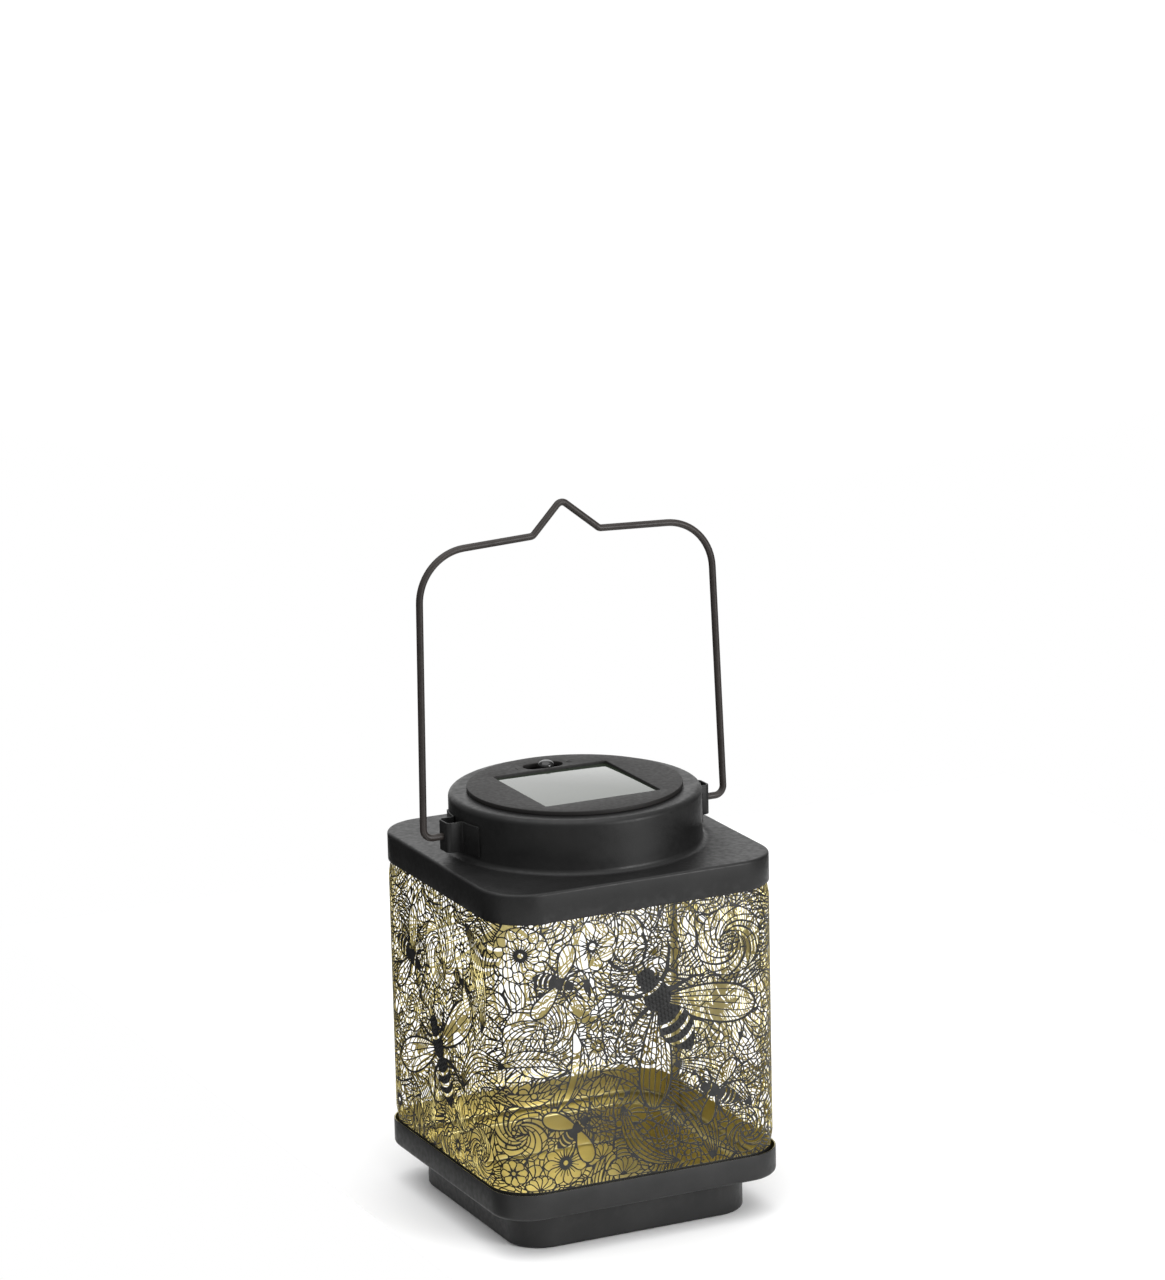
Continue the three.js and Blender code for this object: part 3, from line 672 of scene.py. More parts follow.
def draw_blade(drawing, p, q, rise, width, ribs):
    """A long leaf on a bowed spine, with slanting ribs where asked."""
    spine = bow(p, q, rise, 26)
    t = np.linspace(0, 1, len(spine))
    half = (width / 2 * np.sin(math.pi * t**0.75) ** 0.9)[:, None]
    left, right = spine + along_normal(spine) * half, spine - along_normal(spine) * half
    drawing.open(np.vstack([left, right[::-1][1:-1]]), 0.6)
    for k in range(ribs):
        i = 3 + int((len(spine) - 8) * k / ribs)
        j = min(i + 3, len(spine) - 2)
        drawing.stroke([spine[i], left[j]], JOINT_LINE)
        drawing.stroke([spine[i], right[j]], JOINT_LINE)
    if ribs:
        drawing.stroke(spine, 0.5, 0.4)


def draw_bundle(drawing, p, q, rise, lines, pitch, rng, ties=8):
    """Side-by-side curves that draw together at both ends, tied here and there."""
    base = bow(p, q, rise, 34)
    spread = (np.sin(math.pi * np.linspace(0, 1, len(base))) ** 0.6)[:, None]
    runs = [base + along_normal(base) * spread * pitch * (k - (lines - 1) / 2) for k in range(lines)]
    drawing.open(np.vstack([runs[0], runs[-1][::-1][1:-1]]))
    for run in runs:
        drawing.stroke(run, LINE)
    for first, second in zip(runs, runs[1:]):
        for _ in range(ties):
            i = rng.randint(3, 29)
            drawing.stroke([first[i], second[i + rng.choice((0, 1))]], JOINT_LINE)


def draw_fan(drawing, centre, radius, start, sweep, rays):
    """A shell of petals round a point."""
    centre = np.asarray(centre, float)
    angles = np.linspace(start, start + sweep, 24)
    rim = centre + radius * np.stack([np.cos(angles), np.sin(angles)], 1)
    drawing.open(np.vstack([rim, centre[None]]), EDGE_LINE)
    step = sweep / rays
    for k in range(rays):
        drawing.open(petal(centre, start + (k + 0.5) * step, radius, radius * step * 0.95, 12, 0.7), 0.46)


def draw_bubbles(drawing, origin, places):
    for x, y, radius in places:
        drawing.open(disc((origin + x, y), radius, 16), LINE)


def draw_face(drawing, o, rng, swirls, bundles, blades, flowers, fans, bubbles, bees):
    """A face's figures from the back to the front, round its middle o."""
    for x, y, *shape in swirls:
        draw_swirl(drawing, (o + x, y), *shape, rng)
    for x, y, to_x, to_y, rise, lines, pitch, ties in bundles:
        draw_bundle(drawing, (o + x, y), (o + to_x, to_y), rise, lines, pitch, rng, ties)
    for x, y, to_x, to_y, *shape in blades:
        draw_blade(drawing, (o + x, y), (o + to_x, to_y), *shape)
    for x, y, radius, petals, *more in flowers:
        draw_flower(drawing, (o + x, y), radius, petals, rng, *more)
    for x, y, *shape in fans:
        draw_fan(drawing, (o + x, y), *shape)
    draw_bubbles(drawing, o, bubbles)
    for x, y, heading, length, wings, veins, scaled in bees:
        spread = [(math.radians(turn_by), reach, width) for turn_by, reach, width in wings]
        draw_bee(drawing, (o + x, y), math.radians(heading), length, spread, rng, veins, scaled)


# One large bee high up among small ones.
FACE_A = {
    "swirls": [
        (-48, 96, 16.5, 13, 1.9), (39, 126, 15, 11, -2.2), (-58, 56, 11.5, 11, -2.0), (46, 41, 10, 9, 2.1),
    ],
    "bundles": [
        (2, 70, 30, 31, 0.16, 7, 1.9, 9), (-12, 62, 14, 33, -0.2, 5, 1.8, 6),
        (12, 76, 48, 52, 0.12, 6, 1.8, 7),
    ],
    "blades": [
        (-34, 98, -44, 62, 0.16, 5.5, 0), (-30, 92, -38, 66, 0.14, 4.0, 4), (-67, 84, -36, 80, 0.2, 7, 9),
        (-64, 72, -40, 76, -0.16, 6, 7), (-22, 78, -2, 64, 0.22, 6.5, 7),
    ],
    "flowers": [
        (-56, 133, 12, 12, 0.17, True), (-24.5, 133, 11, 8, 0.24), (-39, 41, 10, 11), (-61, 38, 6, 8, 0.26),
    ],
    "fans": [
        (-50, 30, 7, 0.1, 2.9, 6), (-12, 31, 8.5, 0.1, 2.9, 7), (-22, 40, 7, 0.6, 2.9, 6),
        (30, 104, 8, -0.8, 2.6, 7),
    ],
    "bubbles": [
        (-14, 54, 1.7), (-10, 50, 1.2), (18, 36, 1.5), (13, 44, 1.1), (-30, 60, 1.3),
        (-52, 72, 1.4), (-63, 64, 1.1), (-12, 100, 1.4), (-9, 97, 1.0), (26, 41, 1.2),
    ],
    "bees": [
        (8.5, 101, 121, 46, [(-133, 46, 17), (145, 48, 15)], 5, True),
        (-42, 120, -20, 20, [(92, 17, 7.5), (-112, 18, 7)], 0, False),
        (-35, 54, 38, 19, [(118, 17, 7.5), (-108, 17, 7.5)], 0, False),
        (33, 60, 152, 21, [(-100, 16, 6.5), (100, 15, 6.5)], 0, False),
    ],
}
# A large bee low down and two small ones.
FACE_B = {
    "swirls": [(4, 120, 16, 12, 2.0), (-30, 88, 12, 10, -2.1), (40, 42, 11, 10, 1.9)],
    "bundles": [
        (30, 140, 44, 96, 0.14, 6, 1.8, 8), (-40, 60, -8, 34, 0.2, 6, 1.9, 8),
        (22, 66, 58, 84, 0.18, 6, 1.9, 9),
    ],
    "blades": [(26, 60, 56, 74, 0.2, 7, 9), (-8, 140, 6, 108, 0.2, 6, 7), (-56, 74, -42, 104, 0.12, 6, 7)],
    "flowers": [(-22, 66, 9.5, 10), (26, 128, 9, 9, 0.24, True), (16, 38, 8, 9, 0.22), (-46, 40, 9, 11)],
    "fans": [(-10, 30, 8, 0.1, 2.9, 7), (-54, 128, 8, -0.6, 2.8, 7)],
    "bubbles": [(40, 70, 1.5), (-2, 94, 1.4), (-6, 90, 1.0), (30, 100, 1.2), (-38, 74, 1.3)],
    "bees": [
        (1, 72, 116, 42, [(-78, 45, 15), (86, 44, 15)], 4, True),
        (-30, 111, -18, 27, [(100, 24, 9), (-118, 24, 8)], 3, False),
        (24, 113, -8, 15, [(120, 15, 6), (-60, 15, 6)], 0, False),
    ],
}


def draw_sheet(seed=7):
    drawing = Drawing(S_START, S_END, OPEN_LOW - BAND, OPEN_HIGH + BAND)
    draw_ground(drawing, seed)
    faces = ((FACE_A, 0), (FACE_B, -PITCH), (FACE_A, -2 * PITCH), (FACE_B, PITCH))
    for k, (figures, middle) in enumerate(faces):
        draw_face(drawing, middle, random.Random(seed + k), **figures)
        beyond_seam = middle + 4 * PITCH * (1 if middle < 0 else -1)
        draw_face(drawing, beyond_seam, random.Random(seed + k), **figures)
    s, z = np.meshgrid(drawing.s, drawing.z)
    for solid in (OPEN_LOW - z, z - OPEN_HIGH, S_START + 1.0 - s, s - S_END + 1.0):
        drawing.field = np.maximum(drawing.field, solid)
    return drawing


# ================================================================ from the drawing to a bent sheet

def crossings(field):
    """The outlines' points on the raster's lines, in raster steps, and each point's next one.
    The metal is on the left of each outline."""
    metal = field > 0
    flat = metal[:, :-1] != metal[:, 1:]
    upright = metal[:-1] != metal[1:]
    flat_id = np.full(flat.shape, -1)
    flat_id[flat] = np.arange(flat.sum())
    upright_id = np.full(upright.shape, -1)
    upright_id[upright] = flat.sum() + np.arange(upright.sum())
    i, j = np.nonzero(flat)
    a, b = field[i, j], field[i, j + 1]
    flat_points = np.stack([j + a / (a - b), i], 1)
    i, j = np.nonzero(upright)
    a, b = field[i, j], field[i + 1, j]
    points = np.vstack([flat_points, np.stack([j, i + a / (a - b)], 1)])
    bottom, top = flat_id[:-1], flat_id[1:]
    left, right = upright_id[:, :-1], upright_id[:, 1:]
    case = metal[:-1, :-1] + 2 * metal[:-1, 1:] + 4 * metal[1:, 1:] + 8 * metal[1:, :-1]
    middle = (field[:-1, :-1] + field[:-1, 1:] + field[1:, 1:] + field[1:, :-1]) > 0
    steps = {
        1: [(bottom, left)], 2: [(right, bottom)], 4: [(top, right)], 8: [(left, top)],
        3: [(right, left)], 6: [(top, bottom)], 12: [(left, right)], 9: [(bottom, top)],
        14: [(left, bottom)], 13: [(bottom, right)], 11: [(right, top)], 7: [(top, left)],
    }
    following = np.full(len(points), -1)
    for number, pairs in steps.items():
        at = case == number
        for start, end in pairs:
            following[start[at]] = end[at]
    for number, joined, apart in (
        (5, [(bottom, right), (top, left)], [(bottom, left), (top, right)]),
        (10, [(left, bottom), (right, top)], [(right, bottom), (left, top)]),
    ):
        for at, pairs in (((case == number) & middle, joined), ((case == number) & ~middle, apart)):
            for start, end in pairs:
                following[start[at]] = end[at]
    return points, following


def trace_loops(following):
    """Lists of point numbers, one list per closed outline."""
    step = following.tolist()
    seen = [False] * len(step)
    loops = []
    for first in range(len(step)):
        if seen[first]:
            continue
        loop, here = [], first
        while not seen[here]:
            seen[here] = True
            loop.append(here)
            here = step[here]
        loops.append(loop)
    return loops


def thin_out(points, kept, tolerance):
    """Drops points within tolerance of the line between their neighbours, but none of the kept ones."""
    count = len(points)
    before = np.roll(np.arange(count), 1)
    after = np.roll(np.arange(count), -1)
    drift = np.zeros(count)  # of the edge that starts at each point
    alive = np.ones(count, bool)
    for _ in range(40):
        here = np.nonzero(alive)[0]
        if len(here) < 6:
            break
        p, q, r = points[before[here]], points[here], points[after[here]]
        run = r - p
        t = np.clip(((q - p) * run).sum(1) / np.maximum((run * run).sum(1), 1e-12), 0, 1)
        height = np.hypot(*(q - p - t[:, None] * run).T) + np.maximum(drift[before[here]], drift[here])
        height[kept[here]] = np.inf
        cost = np.full(count, np.inf)
        cost[here] = height + 1e-7 * (here % 97)
        own = cost[here]
        low = (own < tolerance) & (own < cost[before[here]]) & (own <= cost[after[here]])
        drop = here[low]
        if not len(drop):
            break
        alive[drop] = False
        drift[before[drop]] = height[low]
        after[before[drop]] = after[drop]
        before[after[drop]] = before[drop]
    return np.nonzero(alive)[0]


def signed_area(outline):
    x, y = outline.T
    return 0.5 * float(np.sum(x * np.roll(y, -1) - np.roll(x, -1) * y))


SPECK_AREA, OUTLINE_TOLERANCE = 0.09, 0.022


def openings_of(drawing):
    """The openings' outlines in mm. Loose islands of metal and specks are left out."""
    points, following = crossings(drawing.field)
    cut_columns = [round((s - S_START) / GRID) for s in PANEL_CUTS]
    on_cut = np.isin(points[:, 0], cut_columns)
    millimetres = points * GRID + [drawing.s0, drawing.z0]
    outlines, islands = [], []
    for loop in trace_loops(following):
        outline = millimetres[loop]
        area = signed_area(outline)
        if area > 0:
            islands.append(outline)
        elif -area > SPECK_AREA and len(loop) > 6:
            chosen = thin_out(outline, on_cut[loop], OUTLINE_TOLERANCE)
            if len(chosen) > 3:
                outlines.append((outline[chosen], on_cut[loop][chosen]))
    for island in islands:
        low, high = island.min(0), island.max(0)
        outlines = [
            (outline, cut) for outline, cut in outlines
            if not ((outline.min(0) > low).all() and (outline.max(0) < high).all())
        ]
    return outlines


FACE_BREAKS = [-1.5 * PITCH, -0.5 * PITCH, 0.5 * PITCH]
PANEL_CUTS = [S_START + GRID * round((s - S_START) / GRID) for s in FACE_BREAKS]
PANELS = ["sleeve_back", "sleeve_left", "sleeve_front", "sleeve_right"]
BEND_STEP = 1.5


def bend_share(s):
    """How far s is past the last flat's end, as 0 to 1 through a corner, and how many faces round it is."""
    turned_by = np.floor((s + FLAT) / PITCH)
    local = s + FLAT - turned_by * PITCH
    return np.clip((local - 2 * FLAT) / BEND_LENGTH, 0, 1), turned_by, np.minimum(local, 2 * FLAT) - FLAT


def wrapped(s, offset):
    """The x and y of points of the sheet, offset outwards from its mid-surface."""
    share, quarter, flat = bend_share(s)
    angle = share * math.pi / 2
    reach = MID_CORNER + offset
    x = np.where(share > 0, FLAT + reach * np.sin(angle), flat)
    y = np.where(share > 0, -FLAT - reach * np.cos(angle), -MID_HALF - offset)
    about = quarter * math.pi / 2
    return x * np.cos(about) - y * np.sin(about), x * np.sin(about) + y * np.cos(about)


BULGE, BULGE_RUN = 0.85, 7
BULGE_LOW, BULGE_HIGH = RIM_TOP + 0.4, SKIRT_LOW - 0.4


def bulge(z):
    """How far the sheet springs outward between the base's rim and the cap's skirt."""
    share = np.clip(np.minimum(z - BULGE_LOW, BULGE_HIGH - z) / BULGE_RUN, 0, 1)
    return BULGE * share * share * (3 - 2 * share)


def sheet_triangles(outlines):
    """What the metal's triangles are made from: points in mm, each directed outline edge, and how many of
    the edges run round openings.
    """
    points, edges = [], []

    def chain(run, closed):
        first = len(points)
        points.extend(map(tuple, run))
        count = len(run)
        return [(first + k, first + (k + 1) % count) for k in range(count if closed else count - 1)]

    for outline, _ in outlines:
        fine = []
        for p, q in zip(outline, np.roll(outline, -1, axis=0)):
            bent = bend_share(np.array([(p[0] + q[0]) / 2]))[0][0]
            pieces = max(1, math.ceil(abs(q[0] - p[0]) / BEND_STEP)) if 0 < bent < 1 else 1
            fine += [p + (q - p) * k / pieces for k in range(pieces)]
        edges += chain(fine, True)
    opening_edges = len(edges)
    along = [S_START]
    for s in PANEL_CUTS + [S_END]:
        pieces = round((s - along[-1]) / BEND_STEP)
        start = along[-1]
        along += [start + (s - start) * (k + 1) / pieces for k in range(pieces)]
    inner_low = (SLEEVE_LOW + OPEN_LOW) / 2
    inner_high = (SLEEVE_HIGH + OPEN_HIGH) / 2
    border = [(s, SLEEVE_LOW) for s in along] + [(s, SLEEVE_HIGH) for s in reversed(along)]
    edges += chain(border, True)
    for height in (inner_low, OPEN_LOW - 0.4, OPEN_HIGH + 0.4, inner_high):
        points.extend((s, height) for s in along[1:-1])
    for cut in PANEL_CUTS:
        met = sorted(
            tuple(p) for outline, on_cut in outlines for p in outline[on_cut] if abs(p[0] - cut) < GRID / 2
        )
        heights = [SLEEVE_LOW] + [z for _, z in met] + [SLEEVE_HIGH]
        for low, high in zip(heights[::2], heights[1::2]):
            edges += chain([(cut, low), (cut, high)], False)
    return points, edges, opening_edges


def metal_triangles(outlines):
    """The metal's points in mm and its triangles, anticlockwise in the drawing's plane."""
    points, edges, opening_edges = sheet_triangles(outlines)
    result = delaunay_2d_cdt([Vector(p) for p in points], edges, [], 0, 1e-5, True)
    merged = np.array([tuple(v) for v in result[0]])
    triangles = np.array([tuple(f) for f in result[2]])
    corners = merged[triangles]
    area = np.cross(corners[:, 1] - corners[:, 0], corners[:, 2] - corners[:, 0])
    triangles[area < 0] = triangles[area < 0][:, ::-1]
    count = len(merged)

    # Each outline edge, or the pieces it was split into, runs with the metal on its left.
    whole = np.array(points)
    walls = set()
    for (a, b), sources in zip(result[1], result[4]):
        for source in sources:
            if source < opening_edges:
                p, q = whole[edges[source][0]], whole[edges[source][1]]
                forward = float(np.dot(merged[b] - merged[a], q - p)) > 0
                walls.add((a, b) if forward else (b, a))
    wall_keys = np.array(sorted(a * count + b for a, b in walls))

    starts = triangles.ravel()
    ends = np.roll(triangles, -1, axis=1).ravel()
    forward, backward = starts * count + ends, ends * count + starts
    metal_side = np.isin(forward, wall_keys).reshape(-1, 3)
    open_side = np.isin(backward, wall_keys).reshape(-1, 3)
    state = np.where(open_side.any(1), -1, np.where(metal_side.any(1), 1, 0))

    # Triangles with no outline edge take the state of a neighbour.
    order = np.argsort(forward)
    place = np.searchsorted(forward[order], backward)
    place = np.minimum(place, len(order) - 1)
    has_neighbour = forward[order][place] == backward
    neighbour = np.where(has_neighbour, order[place] // 3, -1).reshape(-1, 3)
    passable = (neighbour >= 0) & ~metal_side & ~open_side
    while (state == 0).any():
        unknown = np.nonzero(state == 0)[0]
        around = np.where(passable[unknown], state[neighbour[unknown]], 0)
        found = np.where((around == -1).any(1), -1, np.where((around == 1).any(1), 1, 0))
        if not found.any():
            break
        state[unknown] = found
    return merged, triangles[state == 1]


def cut_edges(triangles, count):
    """Edges that only one triangle uses, as their start and end points."""
    starts, ends = triangles.ravel(), np.roll(triangles, -1, axis=1).ravel()
    lone = ~np.isin(starts * count + ends, ends * count + starts)
    return starts[lone], ends[lone]


PARTING = 0.03


def part_pinches(points, triangles):
    """Moves metal apart a little where two pieces of it touch at only one point."""
    starts = cut_edges(triangles, len(points))[0]
    points = list(points)
    for pinch in np.flatnonzero(np.bincount(starts, minlength=len(points)) > 1):
        fans = []
        for t in np.flatnonzero((triangles == pinch).any(1)):
            corners = set(triangles[t])
            mates = [fan for fan in fans if any(len(corners & set(triangles[u])) > 1 for u in fan)]
            fans = [fan for fan in fans if fan not in mates] + [sum(mates, [t])]
        here = points[pinch]
        for k, fan in enumerate(fans):
            middle = np.mean([points[i] for i in triangles[fan].ravel() if i != pinch], axis=0)
            moved = here + (middle - here) / np.linalg.norm(middle - here) * PARTING
            if k == 0:
                points[pinch] = moved
            else:
                triangles[fan] = np.where(triangles[fan] == pinch, len(points), triangles[fan])
                points.append(moved)
    return np.array(points), triangles


def bent_solid(name, points, triangles):
    """One panel of the sheet as a closed solid: outer skin, inner skin and the cut edges between them."""
    used, triangles = np.unique(triangles, return_inverse=True)
    points, triangles = part_pinches(points[used], triangles.reshape(-1, 3))
    count = len(points)
    a, b = cut_edges(triangles, count)
    walls = np.vstack([np.stack([b, a, a + count], 1), np.stack([b, a + count, b + count], 1)])
    faces = np.vstack([triangles, triangles[:, ::-1] + count, walls])
    skin_offset = SLEEVE_SHEET / 2 + bulge(points[:, 1])
    outer = wrapped(points[:, 0], skin_offset)
    inner = wrapped(points[:, 0], skin_offset - ETCHED_SHEET)
    xyz = np.vstack([np.stack([*outer, points[:, 1]], 1), np.stack([*inner, points[:, 1]], 1)]) * MM
    mesh = bpy.data.meshes.new(name)
    mesh.vertices.add(len(xyz))
    mesh.vertices.foreach_set("co", xyz.ravel())
    mesh.loops.add(faces.size)
    mesh.loops.foreach_set("vertex_index", faces.ravel().astype(np.int32))
    mesh.polygons.add(len(faces))
    mesh.polygons.foreach_set("loop_start", np.arange(0, faces.size, 3, dtype=np.int32))
    for material in (SHEET_BLACK, GOLD, GOLD_EDGE):
        mesh.materials.append(material)
    kinds = np.repeat([0, 1, 2], [len(triangles), len(triangles), len(walls)])
    mesh.polygons.foreach_set("material_index", kinds.astype(np.int32))
    mesh.polygons.foreach_set("use_smooth", np.zeros(len(faces), bool))
    mesh.update(calc_edges=True)
    mesh.validate()
    return new_object(name, mesh)


SCALE_PITCH = (1.95, 1.8)
SCALE_HALF = (0.96, 0.84)
SCALE_RISE = 0.34


def scale_centres(drawing):
    """Staggered rows across the large bees' bodies, kept clear of the metal's edge."""
    centres = []
    for at, angle, length in drawing.scaled:
        rows = int(BELLY_LENGTH * length / SCALE_PITCH[0])
        for row in range(-rows, rows + 1):
            for column in range(-6, 7):
                across = (column + 0.5 * (row % 2)) * SCALE_PITCH[1]
                s, z = turned([[row * SCALE_PITCH[0], across]], angle, at)[0]
                if not (S_START < s < S_END and OPEN_LOW < z < OPEN_HIGH and abs(across) < 0.15 * length):
                    continue
                i, j = round((z - drawing.z0) / GRID), round((s - drawing.s0) / GRID)
                if drawing.solid[i, j] > 0.7 * SCALE_HALF[1]:
                    centres.append((s, z, angle))
    return centres


def make_scales(drawing):
    """Low embossed domes that overlap like scales, raised from the outer skin."""
    points, faces = [], []
    around = 9
    levels = [(1.0, -0.03), (0.86, 0.5 * SCALE_RISE), (0.5, 0.9 * SCALE_RISE)]
    for s, z, angle in scale_centres(drawing):
        first = len(points)
        for share, lift in levels:
            ring = oval((s, z), SCALE_HALF[0] * share, SCALE_HALF[1] * share, angle, around)
            x, y = wrapped(ring[:, 0], SLEEVE_SHEET / 2 + bulge(ring[:, 1]) + lift)
            points += list(zip(x, y, ring[:, 1]))
        x, y = wrapped(np.array([s]), SLEEVE_SHEET / 2 + bulge(z) + SCALE_RISE)
        points.append((x[0], y[0], z))
        for level in range(len(levels) - 1):
            a, b = first + level * around, first + (level + 1) * around
            faces += quads(a, b, around)
        top = first + (len(levels) - 1) * around
        faces += [(top + i, top + (i + 1) % around, len(points) - 1) for i in range(around)]
        faces.append(tuple(range(first + around - 1, first - 1, -1)))
    piece = mesh_piece("sleeve_scales", points, faces, [SHEET_BLACK])
    settle(piece, "shell", "gilt_black_sheet", "filigree_sleeve")


def solid_depth(field, reach=5):
    """How far each raster point is from an opening, up to a few steps, in mm."""
    metal = field > 0
    depth = np.zeros(field.shape, np.float32)
    for _ in range(reach):
        depth += metal
        shrunk = metal.copy()
        shrunk[1:] &= metal[:-1]
        shrunk[:-1] &= metal[1:]
        shrunk[:, 1:] &= metal[:, :-1]
        shrunk[:, :-1] &= metal[:, 1:]
        metal = shrunk
    return depth * GRID


def make_sleeve():
    drawing = draw_sheet()
    drawing.solid = solid_depth(drawing.field)
    points, triangles = metal_triangles(openings_of(drawing))
    middles = points[triangles][:, :, 0].mean(1)
    panel = np.searchsorted(PANEL_CUTS, middles)
    for k, name in enumerate(PANELS):
        piece = bent_solid(name, points, triangles[panel == k])
        settle(piece, "shell", "gilt_black_sheet", "filigree_sleeve")
    make_scales(drawing)


# ================================================================ the shell's pressings

def profile_piece(name, rings, materials, kinds, close_first=True, close_last=True):
    """A pressing made of rings, each row of faces with the material its kind names."""
    points, faces = skin(rings, close_first, close_last)
    n = len(rings[0][0])
    face_materials = [kind for kind in kinds for _ in range(n)]
    face_materials += [kinds[0]] * close_first + [kinds[-1]] * close_last
    piece = mesh_piece(name, points, faces, materials, face_materials)
    return sharpen(piece, 38)


def base_pan_rings():
    """From the underside's middle, up the outside, over the lip and back down to the floor inside."""
    outside = [(FOOT_HALF - 22, 0), (FOOT_HALF - 4, 0)]
    outside += bend(FOOT_HALF - FOOT_EDGE, FOOT_EDGE, FOOT_EDGE, -90, 0)
    outside += bend(FOOT_HALF + 0.5, FOOT_HEIGHT - 0.5, 0.5, 180, 90, 3)
    outside += bend(RIM_HALF - RIM_EDGE, FOOT_HEIGHT + RIM_EDGE, RIM_EDGE, -90, 0)
    lip = SHEET / 2
    outside += [(RIM_HALF, RIM_TOP - 4)] + bend(RIM_HALF - lip, RIM_TOP - lip, lip, 0, 90, 4)
    inside = bend(RIM_HALF - lip, RIM_TOP - lip, lip, 90, 180, 4)[1:] + [(RIM_HALF - SHEET, RIM_TOP - 4)]
    inner_edge = RIM_EDGE - SHEET
    ledge = FOOT_HEIGHT + SHEET
    inside += bend(RIM_HALF - SHEET - inner_edge, ledge + inner_edge, inner_edge, 0, -90)
    inside += bend(FOOT_HALF + 0.5, ledge - 1.1, 1.1, 90, 180, 5)
    floor_edge = FOOT_EDGE - SHEET
    inside += bend(FOOT_HALF - SHEET - floor_edge, SHEET + floor_edge, floor_edge, 0, -90)
    inside += [(FOOT_HALF - 4, SHEET), (FOOT_HALF - 22, SHEET)]

    def corner(half, z):
        within_foot = half <= FOOT_HALF + 0.6
        return FOOT_CORNER - (FOOT_HALF - half) if within_foot else RIM_CORNER - (RIM_HALF - half)

    rings = [(square_ring(half, max(corner(half, z), 0.5)), z) for half, z in outside + inside]
    kinds = [0] * (len(outside) - 1) + [1] * len(inside)
    return rings, kinds


def make_base_pan():
    rings, kinds = base_pan_rings()
    piece = profile_piece("base_pressing", rings, [RIM_COAT, GOLD], kinds)
    return settle(piece, "shell", "black_powder_coat", "base_pan")


def top_cap_rings():
    """From the skirt's lower lip, over the flat top and the collar to the mouth, and back inside."""
    def square(run):
        return [(square_ring(half, SKIRT_CORNER - (SKIRT_HALF - half)), z) for half, z in run]

    def round_(run):
        return [(round_ring(radius), z) for radius, z in run]

    lip = SHEET / 2
    rings = square(bend(SKIRT_HALF - lip, SKIRT_LOW + lip, lip, -90, 0, 3))
    rings += square([(SKIRT_HALF, SKIRT_TOP - 5)])
    rings += square(bend(SKIRT_HALF - SKIRT_EDGE, SKIRT_TOP - SKIRT_EDGE, SKIRT_EDGE, 0, 90))
    rings += square([(SKIRT_HALF - SKIRT_EDGE - 0.6, SKIRT_TOP)])
    foot_of_collar = COLLAR_RADIUS + COLLAR_FILLET
    rings += round_([(foot_of_collar + 0.6, SKIRT_TOP)])
    rings += round_(bend(foot_of_collar, SKIRT_TOP + COLLAR_FILLET, COLLAR_FILLET, 270, 180, 8))
    rings += round_([(COLLAR_RADIUS, COLLAR_TOP - 9)])
    rings += round_(bend(COLLAR_RADIUS - COLLAR_EDGE, COLLAR_TOP - COLLAR_EDGE, COLLAR_EDGE, 0, 90, 8))
    rings += round_([(COLLAR_RADIUS - 4, COLLAR_TOP)])
    rings += round_(bend(MOUTH_RADIUS + lip, COLLAR_TOP - lip, lip, 90, 270, 6))
    inner_edge = COLLAR_EDGE - SHEET
    inner_radius = COLLAR_RADIUS - SHEET
    rings += round_(bend(inner_radius - inner_edge, COLLAR_TOP - SHEET - inner_edge, inner_edge, 90, 0))
    under = SKIRT_TOP - SHEET
    rings += round_(bend(foot_of_collar, under + COLLAR_FILLET + SHEET, COLLAR_FILLET + SHEET, 180, 270))
    rings += square(bend(SKIRT_HALF - SKIRT_EDGE, SKIRT_TOP - SKIRT_EDGE, SKIRT_EDGE - SHEET, 90, 0))
    rings += square([(SKIRT_HALF - SHEET, SKIRT_LOW + lip)])
    return rings


def make_top_cap():
    points, faces = skin(top_cap_rings(), closed=True)
    piece = sharpen(mesh_piece("cap_pressing", points, faces, [BLACK_COAT]), 38)
    return settle(piece, "shell", "black_powder_coat", "top_cap")


# ================================================================ strips and wires

def bent_path(corners, degrees_per_step=5):
    """Points along straight runs between corners, each corner (point, bend radius) rounded to an arc."""
    points = []
    for i, (corner, radius) in enumerate(corners):
        corner = Vector(corner)
        if not radius:
            points.append(corner)
            continue
        back = (Vector(corners[i - 1][0]) - corner).normalized()
        ahead = (Vector(corners[i + 1][0]) - corner).normalized()
        opening = back.angle(ahead)
        run = radius / math.tan(opening / 2)
        centre = corner + (back + ahead).normalized() * (radius / math.sin(opening / 2))
        first, last = corner + back * run - centre, corner + ahead * run - centre
        turn = math.pi - opening
        steps = max(2, math.ceil(math.degrees(turn) / degrees_per_step))
        for k in range(steps + 1):
            a, b = math.sin(turn * (1 - k / steps)), math.sin(turn * k / steps)
            points.append(centre + (first * a + last * b) / math.sin(turn))
    return points


def swept(path, section, across):
    """A section of (side, lift) points carried along a path that stays at right angles to across."""
    points = []
    for i, here in enumerate(path):
        ahead = (path[min(i + 1, len(path) - 1)] - path[max(i - 1, 0)]).normalized()
        side = ahead.cross(across).normalized()
        points += [here + side * a + across * b for a, b in section]
    n = len(section)
    faces = [tuple(range(n))]
    for r in range(len(path) - 1):
        a, b = r * n, (r + 1) * n
        faces += [(a + i, b + i, b + (i + 1) % n, a + (i + 1) % n) for i in range(n)]
    faces.append(tuple((len(path) - 1) * n + i for i in range(n - 1, -1, -1)))
    return points, faces


def outward(piece):
    """Turns every face of a closed mesh to look out."""
    work = bmesh.new()
    work.from_mesh(piece.data)
    bmesh.ops.recalc_face_normals(work, faces=work.faces)
    work.to_mesh(piece.data)
    work.free()
    return piece


